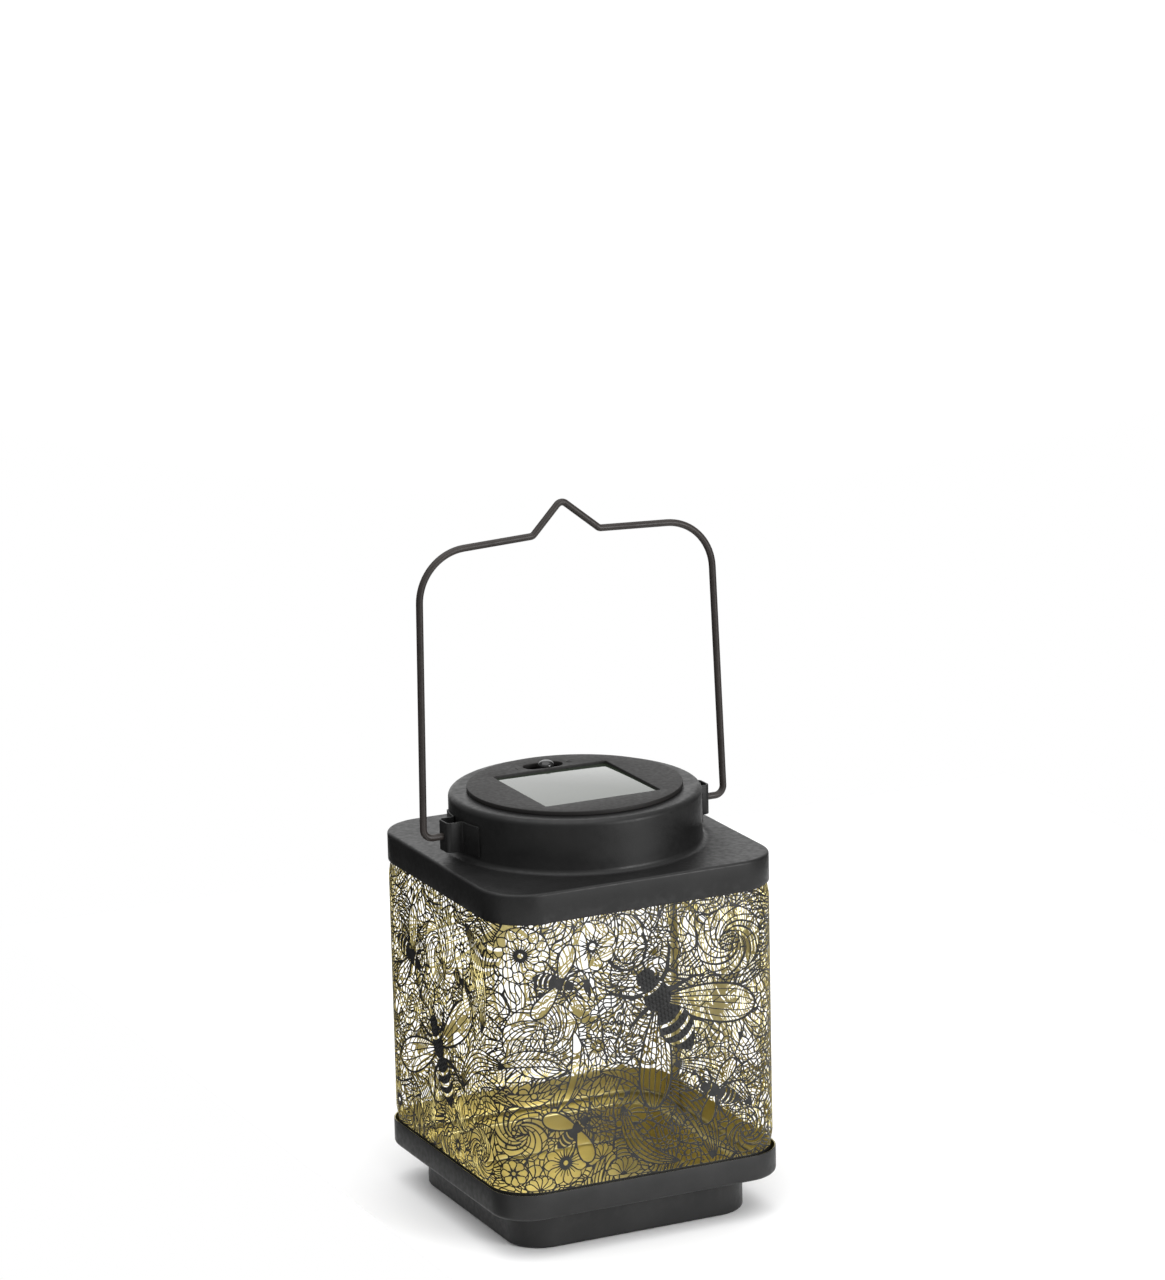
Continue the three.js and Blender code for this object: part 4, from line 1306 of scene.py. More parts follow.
def carve(piece, *tools):
    """Cuts other pieces out of a piece, and removes them."""
    for tool in tools:
        modifier = piece.modifiers.new("cut", "BOOLEAN")
        modifier.object = tool
        modifier.operation = "DIFFERENCE"
        modifier.solver = "EXACT"
        bpy.context.view_layer.update()
        evaluated = piece.evaluated_get(bpy.context.evaluated_depsgraph_get())
        mesh = bpy.data.meshes.new_from_object(evaluated)
        piece.modifiers.clear()
        old, piece.data = piece.data, mesh
        bpy.data.meshes.remove(old)
        bpy.data.objects.remove(tool)
    return piece


BAIL_WIRE = 1.5
BAIL_LEAN = 1.24
BAIL_END_X, BAIL_LEG_X = 57.5, 70.6
BAIL_SHOULDER, BAIL_KINK = (67.7, 121.1), (15.5, 123.4)
BAIL_HOOK = (-1.9, 137.5)
BAIL_BENDS = {"foot": 4, "shoulder": 22, "kink": 2.6, "hook": 3}


def make_bail():
    """One wire, drawn upright and then leant about its pivot axis."""
    def half(side):
        return [
            ((side * BAIL_END_X, 0, 0), 0),
            ((side * BAIL_LEG_X, 0, 0), BAIL_BENDS["foot"]),
            ((side * BAIL_SHOULDER[0], 0, BAIL_SHOULDER[1]), BAIL_BENDS["shoulder"]),
            ((side * BAIL_KINK[0], 0, BAIL_KINK[1]), BAIL_BENDS["kink"]),
        ]

    corners = half(-1) + [((BAIL_HOOK[0], 0, BAIL_HOOK[1]), BAIL_BENDS["hook"])] + half(1)[::-1]
    points, faces = swept(bent_path(corners), circle_outline(0, 0, BAIL_WIRE, 20), Vector((0, 1, 0)))
    lean = Matrix.Rotation(-math.radians(BAIL_LEAN), 3, "X")
    points = [lean @ p + Vector((0, 0, PIVOT_HEIGHT)) for p in points]
    piece = sharpen(outward(mesh_piece("bail_wire", points, faces, [BAIL_COAT])), 40)
    return settle(piece, "bail", "bail_coat", "bail_handle")


BRACKET_REACH, BRACKET_HALF_WIDTH, BRACKET_THICK = 61.8, 5, 0.8
BRACKET_LOW, BRACKET_HIGH, BRACKET_WRAP, BRACKET_HOLE = 163, 176, 17, 1.7


def make_bracket(side, name, node):
    """A bent strip: two flanges that hug the collar and a square loop between them for the wire's end."""
    middle = COLLAR_RADIUS + 0.2 + BRACKET_THICK / 2
    loop_x = BRACKET_REACH - BRACKET_THICK / 2
    loop_y = BRACKET_HALF_WIDTH - BRACKET_THICK / 2
    root_x = math.sqrt(middle**2 - (loop_y + 0.8) ** 2)
    root_angle = math.degrees(math.asin((loop_y + 2.2) / middle))
    half = []
    for k in range(7):
        angle = math.radians(BRACKET_WRAP + (root_angle - BRACKET_WRAP) * k / 6)
        half.append(((middle * math.cos(angle), middle * math.sin(angle), 0), 0))
    half += [((root_x, loop_y, 0), 0.8), ((loop_x, loop_y, 0), 2)]
    corners = half + [((x, -y, z), radius) for (x, y, z), radius in reversed(half)]
    edge, half_thick = 0.22, BRACKET_THICK / 2
    middle_height = (BRACKET_LOW + BRACKET_HIGH) / 2
    half_height = (BRACKET_HIGH - BRACKET_LOW) / 2
    section = []
    for x, z, start in ((1, 1, 0), (-1, 1, 90), (-1, -1, 180), (1, -1, 270)):
        centre = (x * (half_thick - edge), z * (half_height - edge))
        section += bend(*centre, edge, start, start + 90, 3)
    points, faces = swept(bent_path(corners, 12), section, Vector((0, 0, 1)))
    points = [(side * p.x, side * p.y, p.z + middle_height) for p in points]
    piece = outward(mesh_piece(name, points, faces, [BLACK_COAT]))
    axis = [(side * (BRACKET_REACH - 4), 0, PIVOT_HEIGHT), (side * (BRACKET_REACH + 4), 0, PIVOT_HEIGHT)]
    circle = circle_outline(0, 0, BRACKET_HOLE, 32)
    drill_points, drill_faces = swept([Vector(p) for p in axis], circle, Vector((0, 1, 0)))
    drill = outward(mesh_piece("drill", drill_points, drill_faces, [BLACK_COAT]))
    carve(piece, drill)
    return settle(sharpen(piece, 38), "shell", "black_powder_coat", node)


# ================================================================ plates and turned pieces

def shifted(outline, distance):
    """A closed outline moved to its left by a distance, corner by corner."""
    outline = np.asarray(outline, float)
    ahead = np.roll(outline, -1, axis=0) - outline
    ahead /= np.hypot(*ahead.T)[:, None]
    behind = np.roll(ahead, 1, axis=0)
    first, second = np.stack([-behind[:, 1], behind[:, 0]], 1), np.stack([-ahead[:, 1], ahead[:, 0]], 1)
    miter = first + second
    miter /= np.maximum((miter * miter).sum(1, keepdims=True) / 2, 0.3)
    return outline + miter * distance


def plate_mesh(outlines, low, high, round_high=0.0, round_low=0.0, steps=3):
    """A flat plate with holes. The first outline runs anticlockwise and the holes clockwise, so that the
    material is always on the left. Its upper and lower edges may be rounded."""
    levels = []
    for k in range(steps + 1 if round_low else 1):
        angle = math.pi / 2 * (1 - k / steps)
        levels.append((round_low * (1 - math.cos(angle)), low + round_low * (1 - math.sin(angle))))
    for k in range(steps + 1 if round_high else 1):
        angle = math.pi / 2 * k / steps
        levels.append((round_high * (1 - math.cos(angle)), high - round_high * (1 - math.sin(angle))))
    points, faces, starts = [], [], []
    for inset, z in levels:
        starts.append(len(points))
        for outline in outlines:
            points += [(x, y, z) for x, y in shifted(outline, inset)]
    first = 0
    for outline in outlines:
        n = len(outline)
        for a, b in zip(starts, starts[1:]):
            faces += quads(a + first, b + first, n)
        first += n
    flat = [Vector(p[:2]) for p in points[starts[-1]:]]
    edges, first = [], 0
    for outline in outlines:
        n = len(outline)
        edges += [(first + i, first + (i + 1) % n) for i in range(n)]
        first += n
    triangles = [tuple(t) for t in delaunay_2d_cdt(flat, edges, [], 0, 1e-7, False)[2]]

    def is_metal(x, y):
        inside = False
        for a, b in edges:
            p, q = flat[a], flat[b]
            if (p.y > y) != (q.y > y) and x < p.x + (y - p.y) * (q.x - p.x) / (q.y - p.y):
                inside = not inside
        return inside

    for a, b, c in triangles:
        middle = (flat[a] + flat[b] + flat[c]) / 3
        if is_metal(middle.x, middle.y):
            faces.append((starts[-1] + a, starts[-1] + b, starts[-1] + c))
            faces.append((c, b, a))
    return points, faces


def circle_outline(x, y, radius, count=48, hole=False):
    turns = [(-TURN if hole else TURN) * i / count for i in range(count)]
    return [(x + radius * math.cos(turn), y + radius * math.sin(turn)) for turn in turns]


def block_outline(x, y, half_x, half_y, corner, steps=5, hole=False):
    """A rectangle with round corners."""
    points = []
    for sx, sy, start in ((1, 1, 0), (-1, 1, 90), (-1, -1, 180), (1, -1, 270)):
        centre = (x + sx * (half_x - corner), y + sy * (half_y - corner))
        points += bend(*centre, corner, start, start + 90, steps)
    return points[::-1] if hole else points


def turned_mesh(profile, sides=96):
    """A closed profile of (radius, height) points turned about Z. Points on the axis close it."""
    points, faces, rings = [], [], []
    for radius, z in profile:
        rings.append(len(points))
        if radius < 1e-6:
            points.append((0, 0, z))
        else:
            points += [(radius * math.cos(TURN * i / sides), radius * math.sin(TURN * i / sides), z)
                       for i in range(sides)]
    for k, (radius, _) in enumerate(profile):
        after = (k + 1) % len(profile)
        if k == len(profile) - 1 and radius < 1e-6:
            break
        next_radius = profile[after][0]
        a, b = rings[k], rings[after]
        for i in range(sides):
            j = (i + 1) % sides
            if radius < 1e-6 and next_radius < 1e-6:
                break
            if radius < 1e-6:
                faces.append((a, b + j, b + i))
            elif next_radius < 1e-6:
                faces.append((a + i, a + j, b))
            else:
                faces.append((a + i, a + j, b + j, b + i))
    return points, faces


def closed_piece(name, mesh, *materials, kinds=None, degrees=35):
    """A closed mesh of (points, faces) as a piece that looks out, its sharp edges marked."""
    return sharpen(outward(mesh_piece(name, *mesh, materials, kinds)), degrees)


def flat_piece(name, outlines, low, high, material, round_high=0.0, round_low=0.0, steps=3):
    return closed_piece(name, plate_mesh(outlines, low, high, round_high, round_low, steps), material)


def turned_piece(name, profile, material, at=(0, 0, 0), sides=64, degrees=35):
    points, faces = turned_mesh(profile, sides)
    points = [(x + at[0], y + at[1], z + at[2]) for x, y, z in points]
    return closed_piece(name, (points, faces), material, degrees=degrees)


def tube(name, place, inner, outer, low, high, material):
    """A turned tube with its upper rim broken."""
    rim = 0.25
    profile = [(inner, low), (outer, low), (outer, high - rim), (outer - rim, high), (inner + rim, high),
               (inner, high - rim)]
    return turned_piece(name, profile, material, (*place, 0), 40)


# ================================================================ the solar module

LID_RADIUS, LID_LOW, LID_TOP, LID_EDGE, LIP_DEPTH = 46, 182.6, 184.45, 0.9, 1
LID_SKIRT_OUTER, LID_SKIRT_INNER, LID_SKIRT_LOW = 43, 41.4, 176.2
WINDOW_HALF_X, WINDOW_HALF_Y, WINDOW_Y = 26.6, 26.85, -1.65
CELL_HALF, GLASS, WAFER = 27.5, 1.2, 0.5
SLOT_Y, SLOT_HALF_LENGTH, SLOT_HALF_WIDTH = 32, 9, 4.4
KNOB_X, KNOB_RADIUS, KNOB_RISE = 1.5, 3.5, 1.95
GLASS_TOP = LID_TOP - LIP_DEPTH - 0.1


def glossy_black():
    s = Shader("knob_gloss")
    smudge = s.span(s.noise(380, 4), 0.4, 0.75, 0.08, 0.2)
    s.set(Base_Color=s.mix(s.noise(90, 3), grey(0.006), grey(0.012)), Roughness=smudge,
          Normal=s.bump(s.noise(900, 2), 0.04, 0.0001))
    return s.material


def window_glass():
    s = Shader("window_glass")
    s.set(Base_Color=(0.06, 0.09, 0.05, 1), Roughness=s.span(s.noise(120, 4), 0.45, 0.8, 0.05, 0.11),
          Transmission_Weight=0.7, IOR=1.7, Coat_Weight=0.7, Coat_Roughness=0.03)
    return s.material


def silicon_wafer():
    """Polycrystalline flakes with silver fingers along X and two busbars along Y."""
    s = Shader("silicon_wafer")
    flakes = s.node("ShaderNodeTexVoronoi", Scale=260.0, Vector=s.place()).outputs["Color"]
    tone = s.node("ShaderNodeSeparateColor", Color=flakes).outputs["Red"]
    colour = s.ramp(tone, (0.0, (0.010, 0.014, 0.030, 1)), (1.0, (0.022, 0.032, 0.066, 1)))
    axes = s.node("ShaderNodeSeparateXYZ", Vector=s.place())
    fingers = s.stripes(axes.outputs["Y"], 0.0022, 0.07)
    bars = s.stripes(axes.outputs["X"], 0.026, 0.055)
    silver = s.maths("MAXIMUM", fingers, bars)
    s.set(Base_Color=s.mix(silver, colour, (0.5, 0.5, 0.5, 1)), Roughness=s.span(tone, 0, 1, 0.18, 0.34))
    return s.material


def make_lid():
    holes = [
        block_outline(0, WINDOW_Y, WINDOW_HALF_X, WINDOW_HALF_Y, 0.7, hole=True),
        block_outline(0, SLOT_Y, SLOT_HALF_LENGTH, SLOT_HALF_WIDTH, SLOT_HALF_WIDTH - 0.01, 14, hole=True),
    ]
    outlines = [circle_outline(0, 0, LID_RADIUS, 144)] + holes
    disc = flat_piece("lid_disc", outlines, LID_LOW, LID_TOP, PLASTIC, LID_EDGE * 0.45, 0.2, 4)
    settle(disc, "solar_module", "black_plastic", "module_lid")
    ring = [(LID_SKIRT_INNER, LID_SKIRT_LOW), (LID_SKIRT_OUTER - 0.3, LID_SKIRT_LOW),
            (LID_SKIRT_OUTER, LID_SKIRT_LOW + 0.3), (LID_SKIRT_OUTER, LID_LOW), (LID_SKIRT_INNER, LID_LOW)]
    skirt = turned_piece("lid_skirt", ring, PLASTIC, sides=120)
    settle(skirt, "solar_module", "black_plastic", "module_lid")


def make_window():
    outline = [block_outline(0, WINDOW_Y, CELL_HALF, CELL_HALF, 0.5)]
    glass = flat_piece("window_pane", outline, GLASS_TOP - GLASS, GLASS_TOP, window_glass(), 0.15, 0.15)
    settle(glass, "solar_module", "cell_glass", "cell_window")
    wafer_top = GLASS_TOP - GLASS - 0.1
    outline = [block_outline(0, WINDOW_Y, CELL_HALF - 0.5, CELL_HALF - 0.5, 1.6, 1)]
    points, faces = plate_mesh(outline, wafer_top - WAFER, wafer_top, 0.05)
    wafer = outward(mesh_piece("cell_wafer", points, faces, [silicon_wafer()], smooth=False))
    settle(wafer, "solar_module", "silicon", "solar_cell")


def make_knob():
    """A domed button on a short rim."""
    rim = LID_TOP - 0.2
    top = LID_TOP + KNOB_RISE
    profile = [(0, LID_LOW - 0.6), (KNOB_RADIUS, LID_LOW - 0.6), (KNOB_RADIUS, rim)]
    for k in range(1, 13):
        angle = math.pi / 2 * k / 12
        profile.append((KNOB_RADIUS * math.cos(angle) ** 0.8, rim + (top - rim) * math.sin(angle)))
    profile[-1] = (0, top)
    piece = turned_piece("knob_dome", profile, glossy_black(), (KNOB_X, SLOT_Y, 0), 48, 50)
    settle(piece, "switch", "gloss_black_plastic", "switch_knob")


CAN_OUTER, CAN_WALL, CAN_LOW, CAN_TOP = 43, 1.6, 157.5, 175.4
CAN_FLOOR = CAN_LOW + CAN_WALL
BATTERY_Y, BATTERY_Z, BATTERY_RADIUS, BATTERY_START, BATTERY_LENGTH = -18, 166.3, 7.1, -22.7, 49.3
BAY_X, BAY_Y, BAY_WALL, BAY_ROOF, BAY_TOP = 28.6, 8, 2, 173.9, 175
DOOR_X, DOOR_Y, DOOR_THICK, DOOR_GAP = 29.4, 8.8, 1.4, 0.3
EAR_X, EAR_Y, EAR_RADIUS, DOOR_BOSS_TOP = 16, -30.8, 3.4, 167
BOARD_LOW, BOARD_TOP = 170, 171.2
BOSS_PLACES = [(36.5 * math.cos(math.radians(a)), 36.5 * math.sin(math.radians(a))) for a in (20, 160, 270)]
POST_PLACES = [(-13, 20), (13, 20)]
LED_RADIUS, LED_FLANGE, LED_TIP, LED_SHOULDER, LED_TOP = 2.5, 2.9, 155.6, 162.6, 163.6
LED_LEG_X, LED_LEG_HALF = 1.27, 0.25
CHIP_X, CHIP_Y, CHIP_HALF_X, CHIP_HALF_Y = -7.75, 6, 1.95, 1.6
RIBS, RIB_START, RIB_PITCH = 6, -24, 1.8
WELDS, WELD_END = 12, 8
# Each screw's head radius, head height, shank radius and length.
CAN_SCREW, BOARD_SCREW, DOOR_SCREW = (2.6, 1.5, 1.2, 10), (1.9, 1.2, 0.95, 5), (2, 1.1, 0.9, 6)


def plated_steel(name, tone=0.6, gloss=0.22):
    """Bright zinc or nickel plate with faint clouding and rubbed edges."""
    s = Shader(name)
    colour = s.ramp(s.noise(160, 4), (0.3, grey(tone * 0.78)), (0.7, grey(tone)))
    colour = s.mix(s.maths("MULTIPLY", s.worn_edges(), 0.4), colour, grey(tone * 1.3))
    s.set(Base_Color=colour, Metallic=1.0, Normal=s.bump(s.noise(1800, 2), 0.1, 0.00005),
          Roughness=s.span(s.noise(700, 3), 0.3, 0.7, gloss, gloss + 0.16))
    return s.material


def tinted(name, dark, light, rough, patch=120, grain=1200, depth=0.00006):
    """A coloured finish whose tone, gloss and grain vary a little, rubbed lighter on its edges."""
    s = Shader(name)
    colour = s.ramp(s.noise(patch, 4), (0.3, dark), (0.7, light))
    colour = s.mix(s.maths("MULTIPLY", s.worn_edges(), 0.35), colour, lighter(light, 1.6, 0.01))
    s.set(Base_Color=colour, Roughness=s.span(s.noise(grain / 2, 3), 0.3, 0.7, rough, rough + 0.12),
          Normal=s.bump(s.noise(grain, 2, 0.6), 0.25, depth))
    return s.material


def solder_mask():
    """Green lacquer over copper tracks, which show as paler lines in patches."""
    s = Shader("solder_mask")
    axes = s.node("ShaderNodeSeparateXYZ", Vector=s.place())

    def tracks(axis, pitch, patch_scale):
        here = s.maths("GREATER_THAN", s.noise(patch_scale, 1), 0.5)
        return s.maths("MULTIPLY", s.stripes(axes.outputs[axis], pitch, 0.3), here)

    track = s.maths("MAXIMUM", tracks("X", 0.0018, 150), tracks("Y", 0.0021, 110))
    lacquer = s.ramp(s.noise(90, 3), (0.3, (0.012, 0.07, 0.02)), (0.7, (0.02, 0.1, 0.03)))
    s.set(Base_Color=s.mix(track, lacquer, (0.05, 0.2, 0.06, 1)),
          Roughness=s.span(s.noise(500, 3), 0.3, 0.7, 0.28, 0.4), Normal=s.bump(track, 0.3, 0.00004))
    return s.material


def epoxy():
    """The diode's warm, nearly clear epoxy."""
    s = Shader("led_clear_epoxy")
    s.set(Base_Color=(0.95, 0.88, 0.68, 1), Transmission_Weight=0.75, IOR=1.54,
          Roughness=s.span(s.noise(400, 3), 0.3, 0.7, 0.05, 0.14),
          Normal=s.bump(s.noise(300, 2), 0.05, 0.0001))
    return s.material


STEEL = plated_steel("zinc_plate")
NICKEL = plated_steel("nickel_plate", 0.68, 0.16)
SLEEVE_GREEN = tinted("battery_shrink_sleeve", (0.035, 0.16, 0.04), (0.05, 0.22, 0.055), 0.22, 60, 600)
RUBBER = tinted("seal_black_rubber", (0.009, 0.009, 0.009), (0.016, 0.016, 0.016), 0.66, 80, 900, 0.0001)


def make_lid_details():
    """The lid's three screw bosses, and a raised bar and ring that mark the switch's two ends."""
    for i, place in enumerate(BOSS_PLACES):
        boss = tube(f"lid_boss_{i + 1}", place, 1.3, 3, CAN_FLOOR + 0.2, LID_LOW + 0.2, PLASTIC)
        settle(boss, "solar_module", "black_plastic", "module_lid")
    mark_x, mark_half, stroke, rise = 12.4, 1.15, 0.36, 0.14
    bar = [block_outline(-mark_x, SLOT_Y, stroke / 2, mark_half, 0.1)]
    ring = [circle_outline(mark_x, SLOT_Y, radius, 40, radius < mark_half)
            for radius in (mark_half, mark_half - stroke)]
    for name, outlines in (("mark_bar", bar), ("mark_ring", ring)):
        mark = flat_piece(name, outlines, LID_TOP - 0.1, LID_TOP + rise, PLASTIC, 0.05)
        settle(mark, "solar_module", "black_plastic", "module_lid")


def door_outline(grow, hole=False):
    """The battery door's outline with its screw ear, grown by a gap."""
    half_x, half_y, radius, corner = DOOR_X + grow, DOOR_Y + grow, EAR_RADIUS + grow, 0.8
    low, high = BATTERY_Y - half_y, BATTERY_Y + half_y
    points = bend(half_x - corner, high - corner, corner, 0, 90, 4)
    points += bend(-half_x + corner, high - corner, corner, 90, 180, 4)
    points += bend(-half_x + corner, low + corner, corner, 180, 270, 4)
    points += [(EAR_X - radius, low), *bend(EAR_X, EAR_Y, radius, 180, 360, 14), (EAR_X + radius, low)]
    points += bend(half_x - corner, low + corner, corner, 270, 360, 4)
    return points[::-1] if hole else points


def make_can():
    """The cup below the lid, with its holes, the walls and roof of the battery bay, and its posts."""
    edge, rim = 1, 0.3
    profile = [(0, CAN_LOW)] + bend(CAN_OUTER - edge, CAN_LOW + edge, edge, -90, 0)
    profile += [(CAN_OUTER, CAN_TOP - rim), (CAN_OUTER - rim, CAN_TOP), (CAN_OUTER - CAN_WALL, CAN_TOP)]
    profile += bend(CAN_OUTER - CAN_WALL - edge, CAN_FLOOR + edge, edge, 0, -90) + [(0, CAN_FLOOR)]
    cup = turned_piece("can_cup", profile, CAN_PLASTIC, sides=120)
    cutters = [[door_outline(DOOR_GAP)], [circle_outline(0, 0, LED_RADIUS + 0.25)]]
    cutters += [[circle_outline(*place, 1.5, 24)] for place in BOSS_PLACES]
    for outlines in cutters:
        carve(cup, flat_piece("cutter", outlines, CAN_LOW - 1, CAN_FLOOR + 1, CAN_PLASTIC))
    pieces = [sharpen(cup, 35)]
    bay_walls = [
        block_outline(0, BATTERY_Y, BAY_X + BAY_WALL, BAY_Y + BAY_WALL, 1),
        block_outline(0, BATTERY_Y, BAY_X, BAY_Y, 0.4, hole=True),
    ]
    pieces.append(flat_piece("can_bay_walls", bay_walls, CAN_FLOOR - 0.1, BAY_TOP, CAN_PLASTIC, 0.2))
    roof = [block_outline(0, BATTERY_Y, BAY_X + 0.1, BAY_Y + 0.1, 0.4)]
    roof += [block_outline(x, BATTERY_Y, 1.2, 5.5, 0.3, hole=True) for x in (-27.2, 27.2)]
    pieces.append(flat_piece("can_bay_roof", roof, BAY_ROOF, BAY_TOP - 0.1, CAN_PLASTIC))
    root = CAN_FLOOR - 0.1
    for i, place in enumerate(POST_PLACES):
        post = tube(f"can_post_{i + 1}", place, 1.1, 2.6, root, BOARD_LOW - 0.2, CAN_PLASTIC)
        pieces.append(post)
    pieces.append(tube("can_door_boss", (EAR_X, EAR_Y), 1.05, 3.6, root, DOOR_BOSS_TOP, CAN_PLASTIC))
    for piece in pieces:
        settle(piece, "solar_module", "black_plastic", "module_can")


def make_door():
    """The door's plate with its screw hole, and a row of raised grip ribs under its free end."""
    outlines = [door_outline(0), circle_outline(EAR_X, EAR_Y, 1.2, 28, True)]
    plate = flat_piece("door_plate", outlines, CAN_LOW, CAN_LOW + DOOR_THICK, CAN_PLASTIC, 0.0, 0.3)
    settle(plate, "battery_cover", "black_plastic", "battery_door")
    for i in range(RIBS):
        rib = [block_outline(RIB_START + RIB_PITCH * i, BATTERY_Y, 0.4, 5.2, 0.38)]
        piece = flat_piece(f"door_rib_{i + 1}", rib, CAN_LOW - 0.35, CAN_LOW + 0.2, CAN_PLASTIC, 0.0, 0.15)
        settle(piece, "battery_cover", "black_plastic", "battery_door")


def make_screw(node, place, head_radius, head_height, shank_radius, length, upside_down=False):
    """A pan-head screw with a cross recess and a coarse thread, its head's underside at the place."""
    dome = head_height * 0.55
    profile = [(0, -head_height), (head_radius * 0.5, -head_height)]
    for k in range(1, 6):
        angle = math.pi / 2 * k / 5
        wide = head_radius * (0.5 + 0.5 * math.sin(angle))
        profile.append((wide, -head_height + dome * (1 - math.cos(angle))))
    profile += [(head_radius, -0.1), (head_radius - 0.1, 0), (shank_radius * 0.78, 0)]
    pitch = shank_radius * 0.75
    z = pitch
    root_radius, flank = shank_radius * 0.78, pitch * 0.3
    while z < length - 1.6 * shank_radius:
        profile += [(root_radius, z - flank), (shank_radius, z), (root_radius, z + flank)]
        z += pitch
    profile.append((0, length))
    arm, half = head_radius * 0.55, head_radius * 0.12
    cross = [(half, half), (half, arm), (-half, arm), (-half, half), (-arm, half), (-arm, -half)]
    cross += [(-x, -y) for x, y in cross]
    flip = -1 if upside_down else 1

    def put(points):
        return [(place[0] + x, place[1] + flip * y, place[2] + flip * z) for x, y, z in points]

    points, faces = turned_mesh(profile, 32)
    blank = outward(mesh_piece(f"{node}_turned", put(points), faces, [STEEL]))
    points, faces = plate_mesh([cross], -head_height - 1, -head_height * 0.4)
    carve(blank, outward(mesh_piece("cutter", put(points), faces, [STEEL])))
    return sharpen(blank, 35)


def make_screws():
    for i, place in enumerate(BOSS_PLACES):
        node = f"can_screw_{i + 1}"
        screw = make_screw(node, (*place, CAN_LOW - 0.1), *CAN_SCREW)
        settle(screw, "solar_module", "plated_steel", node)
    for i, place in enumerate(POST_PLACES):
        node = f"board_screw_{i + 1}"
        screw = make_screw(node, (*place, BOARD_TOP + 0.1), *BOARD_SCREW, True)
        settle(screw, "solar_module", "plated_steel", node)
    screw = make_screw("battery_door_screw", (EAR_X, EAR_Y, CAN_LOW - 0.2), *DOOR_SCREW)
    settle(screw, "battery_cover", "plated_steel", "battery_door_screw")


def make_power():
    """The battery in its sleeve, the light-emitting diode with its legs, the drive chip and the seal."""
    end, fold = 0.7, 4.9
    straight = BATTERY_RADIUS - end
    profile = [(0, 0.3), (fold, 0.3), (fold + 0.2, 0)] + bend(straight, end, end, -90, 0)
    length = BATTERY_LENGTH
    profile += bend(straight, length - end, end, 0, 90) + [(fold, length), (fold - 0.2, length - 0.25)]
    sleeve_rows = len(profile) - 3
    profile += [(2.9, length - 0.25), (2.75, length), (2.7, length + 0.7)]
    profile += [(2.4, length + 1), (0, length + 1)]
    sides = 64
    points, faces = turned_mesh(profile, sides)
    points = [(BATTERY_START + z, BATTERY_Y + y, BATTERY_Z + x) for x, y, z in points]
    rows = [0 if 1 <= row <= sleeve_rows else 1 for row in range(len(profile) - 1)]
    kinds = [kind for kind in rows for _ in range(sides)]
    battery = closed_piece("battery_can", (points, faces), SLEEVE_GREEN, NICKEL, kinds=kinds)
    settle(battery, "solar_module", "battery_sleeve", "battery_cell")

    profile = [(0, LED_TIP)] + bend(0, LED_TIP + LED_RADIUS, LED_RADIUS, -80, 0, 10)
    profile += [(LED_RADIUS, LED_SHOULDER), (LED_FLANGE, LED_SHOULDER + 0.1), (LED_FLANGE, LED_TOP - 0.1),
                (LED_FLANGE - 0.1, LED_TOP), (0, LED_TOP)]
    settle(turned_piece("led_dome", profile, epoxy(), sides=48), "solar_module", "led_epoxy", "led")
    for name, x in (("led_leg_plus", LED_LEG_X), ("led_leg_minus", -LED_LEG_X)):
        outline = [block_outline(x, 0, LED_LEG_HALF, LED_LEG_HALF, 0.06, 2)]
        leg = flat_piece(name, outline, LED_TOP - 0.5, BOARD_LOW - 0.1, NICKEL)
        settle(leg, "solar_module", "plated_steel", "led")

    chip_black = tinted("chip_moulding", (0.012, 0.012, 0.012), (0.02, 0.02, 0.02), 0.42, 200, 1600)
    outline = [block_outline(CHIP_X, CHIP_Y, CHIP_HALF_X, CHIP_HALF_Y, 0.3)]
    chip = flat_piece("chip_body", outline, BOARD_TOP + 0.25, BOARD_TOP + 2, chip_black, 0.2, 0.2)
    settle(chip, "solar_module", "chip_epoxy", "drive_chip")
    for i in range(4):
        x = CHIP_X - 1.5 + i
        foot = [Vector((x, 4.0, BOARD_TOP + 0.12)), Vector((x, 4.25, BOARD_TOP + 0.16)),
                Vector((x, 4.4, BOARD_TOP + 0.9)), Vector((x, 4.7, BOARD_TOP + 1.1))]
        for side in (-1, 1):
            path = [Vector((p.x, CHIP_Y + side * (CHIP_Y - p.y), p.z)) for p in foot]
            points, faces = swept(path, block_outline(0, 0, 0.07, 0.2, 0.03, 1), Vector((1, 0, 0)))
            name = f"chip_leg_{'front' if side < 0 else 'back'}_{i + 1}"
            leg = outward(mesh_piece(name, points, faces, [NICKEL]))
            settle(leg, "solar_module", "plated_steel", "drive_chip")

    low, high, inner, outer, edge = CAN_TOP + 0.1, LID_SKIRT_LOW - 0.1, 41.6, 42.8, 0.2
    profile = [(inner, low + edge), (inner + edge, low), (outer - edge, low), (outer, low + edge),
               (outer, high - edge), (outer - edge, high), (inner + edge, high), (inner, high - edge)]
    seal = turned_piece("seal_ring", profile, RUBBER, sides=120)
    settle(seal, "solar_module", "seal_rubber", "housing_seal")


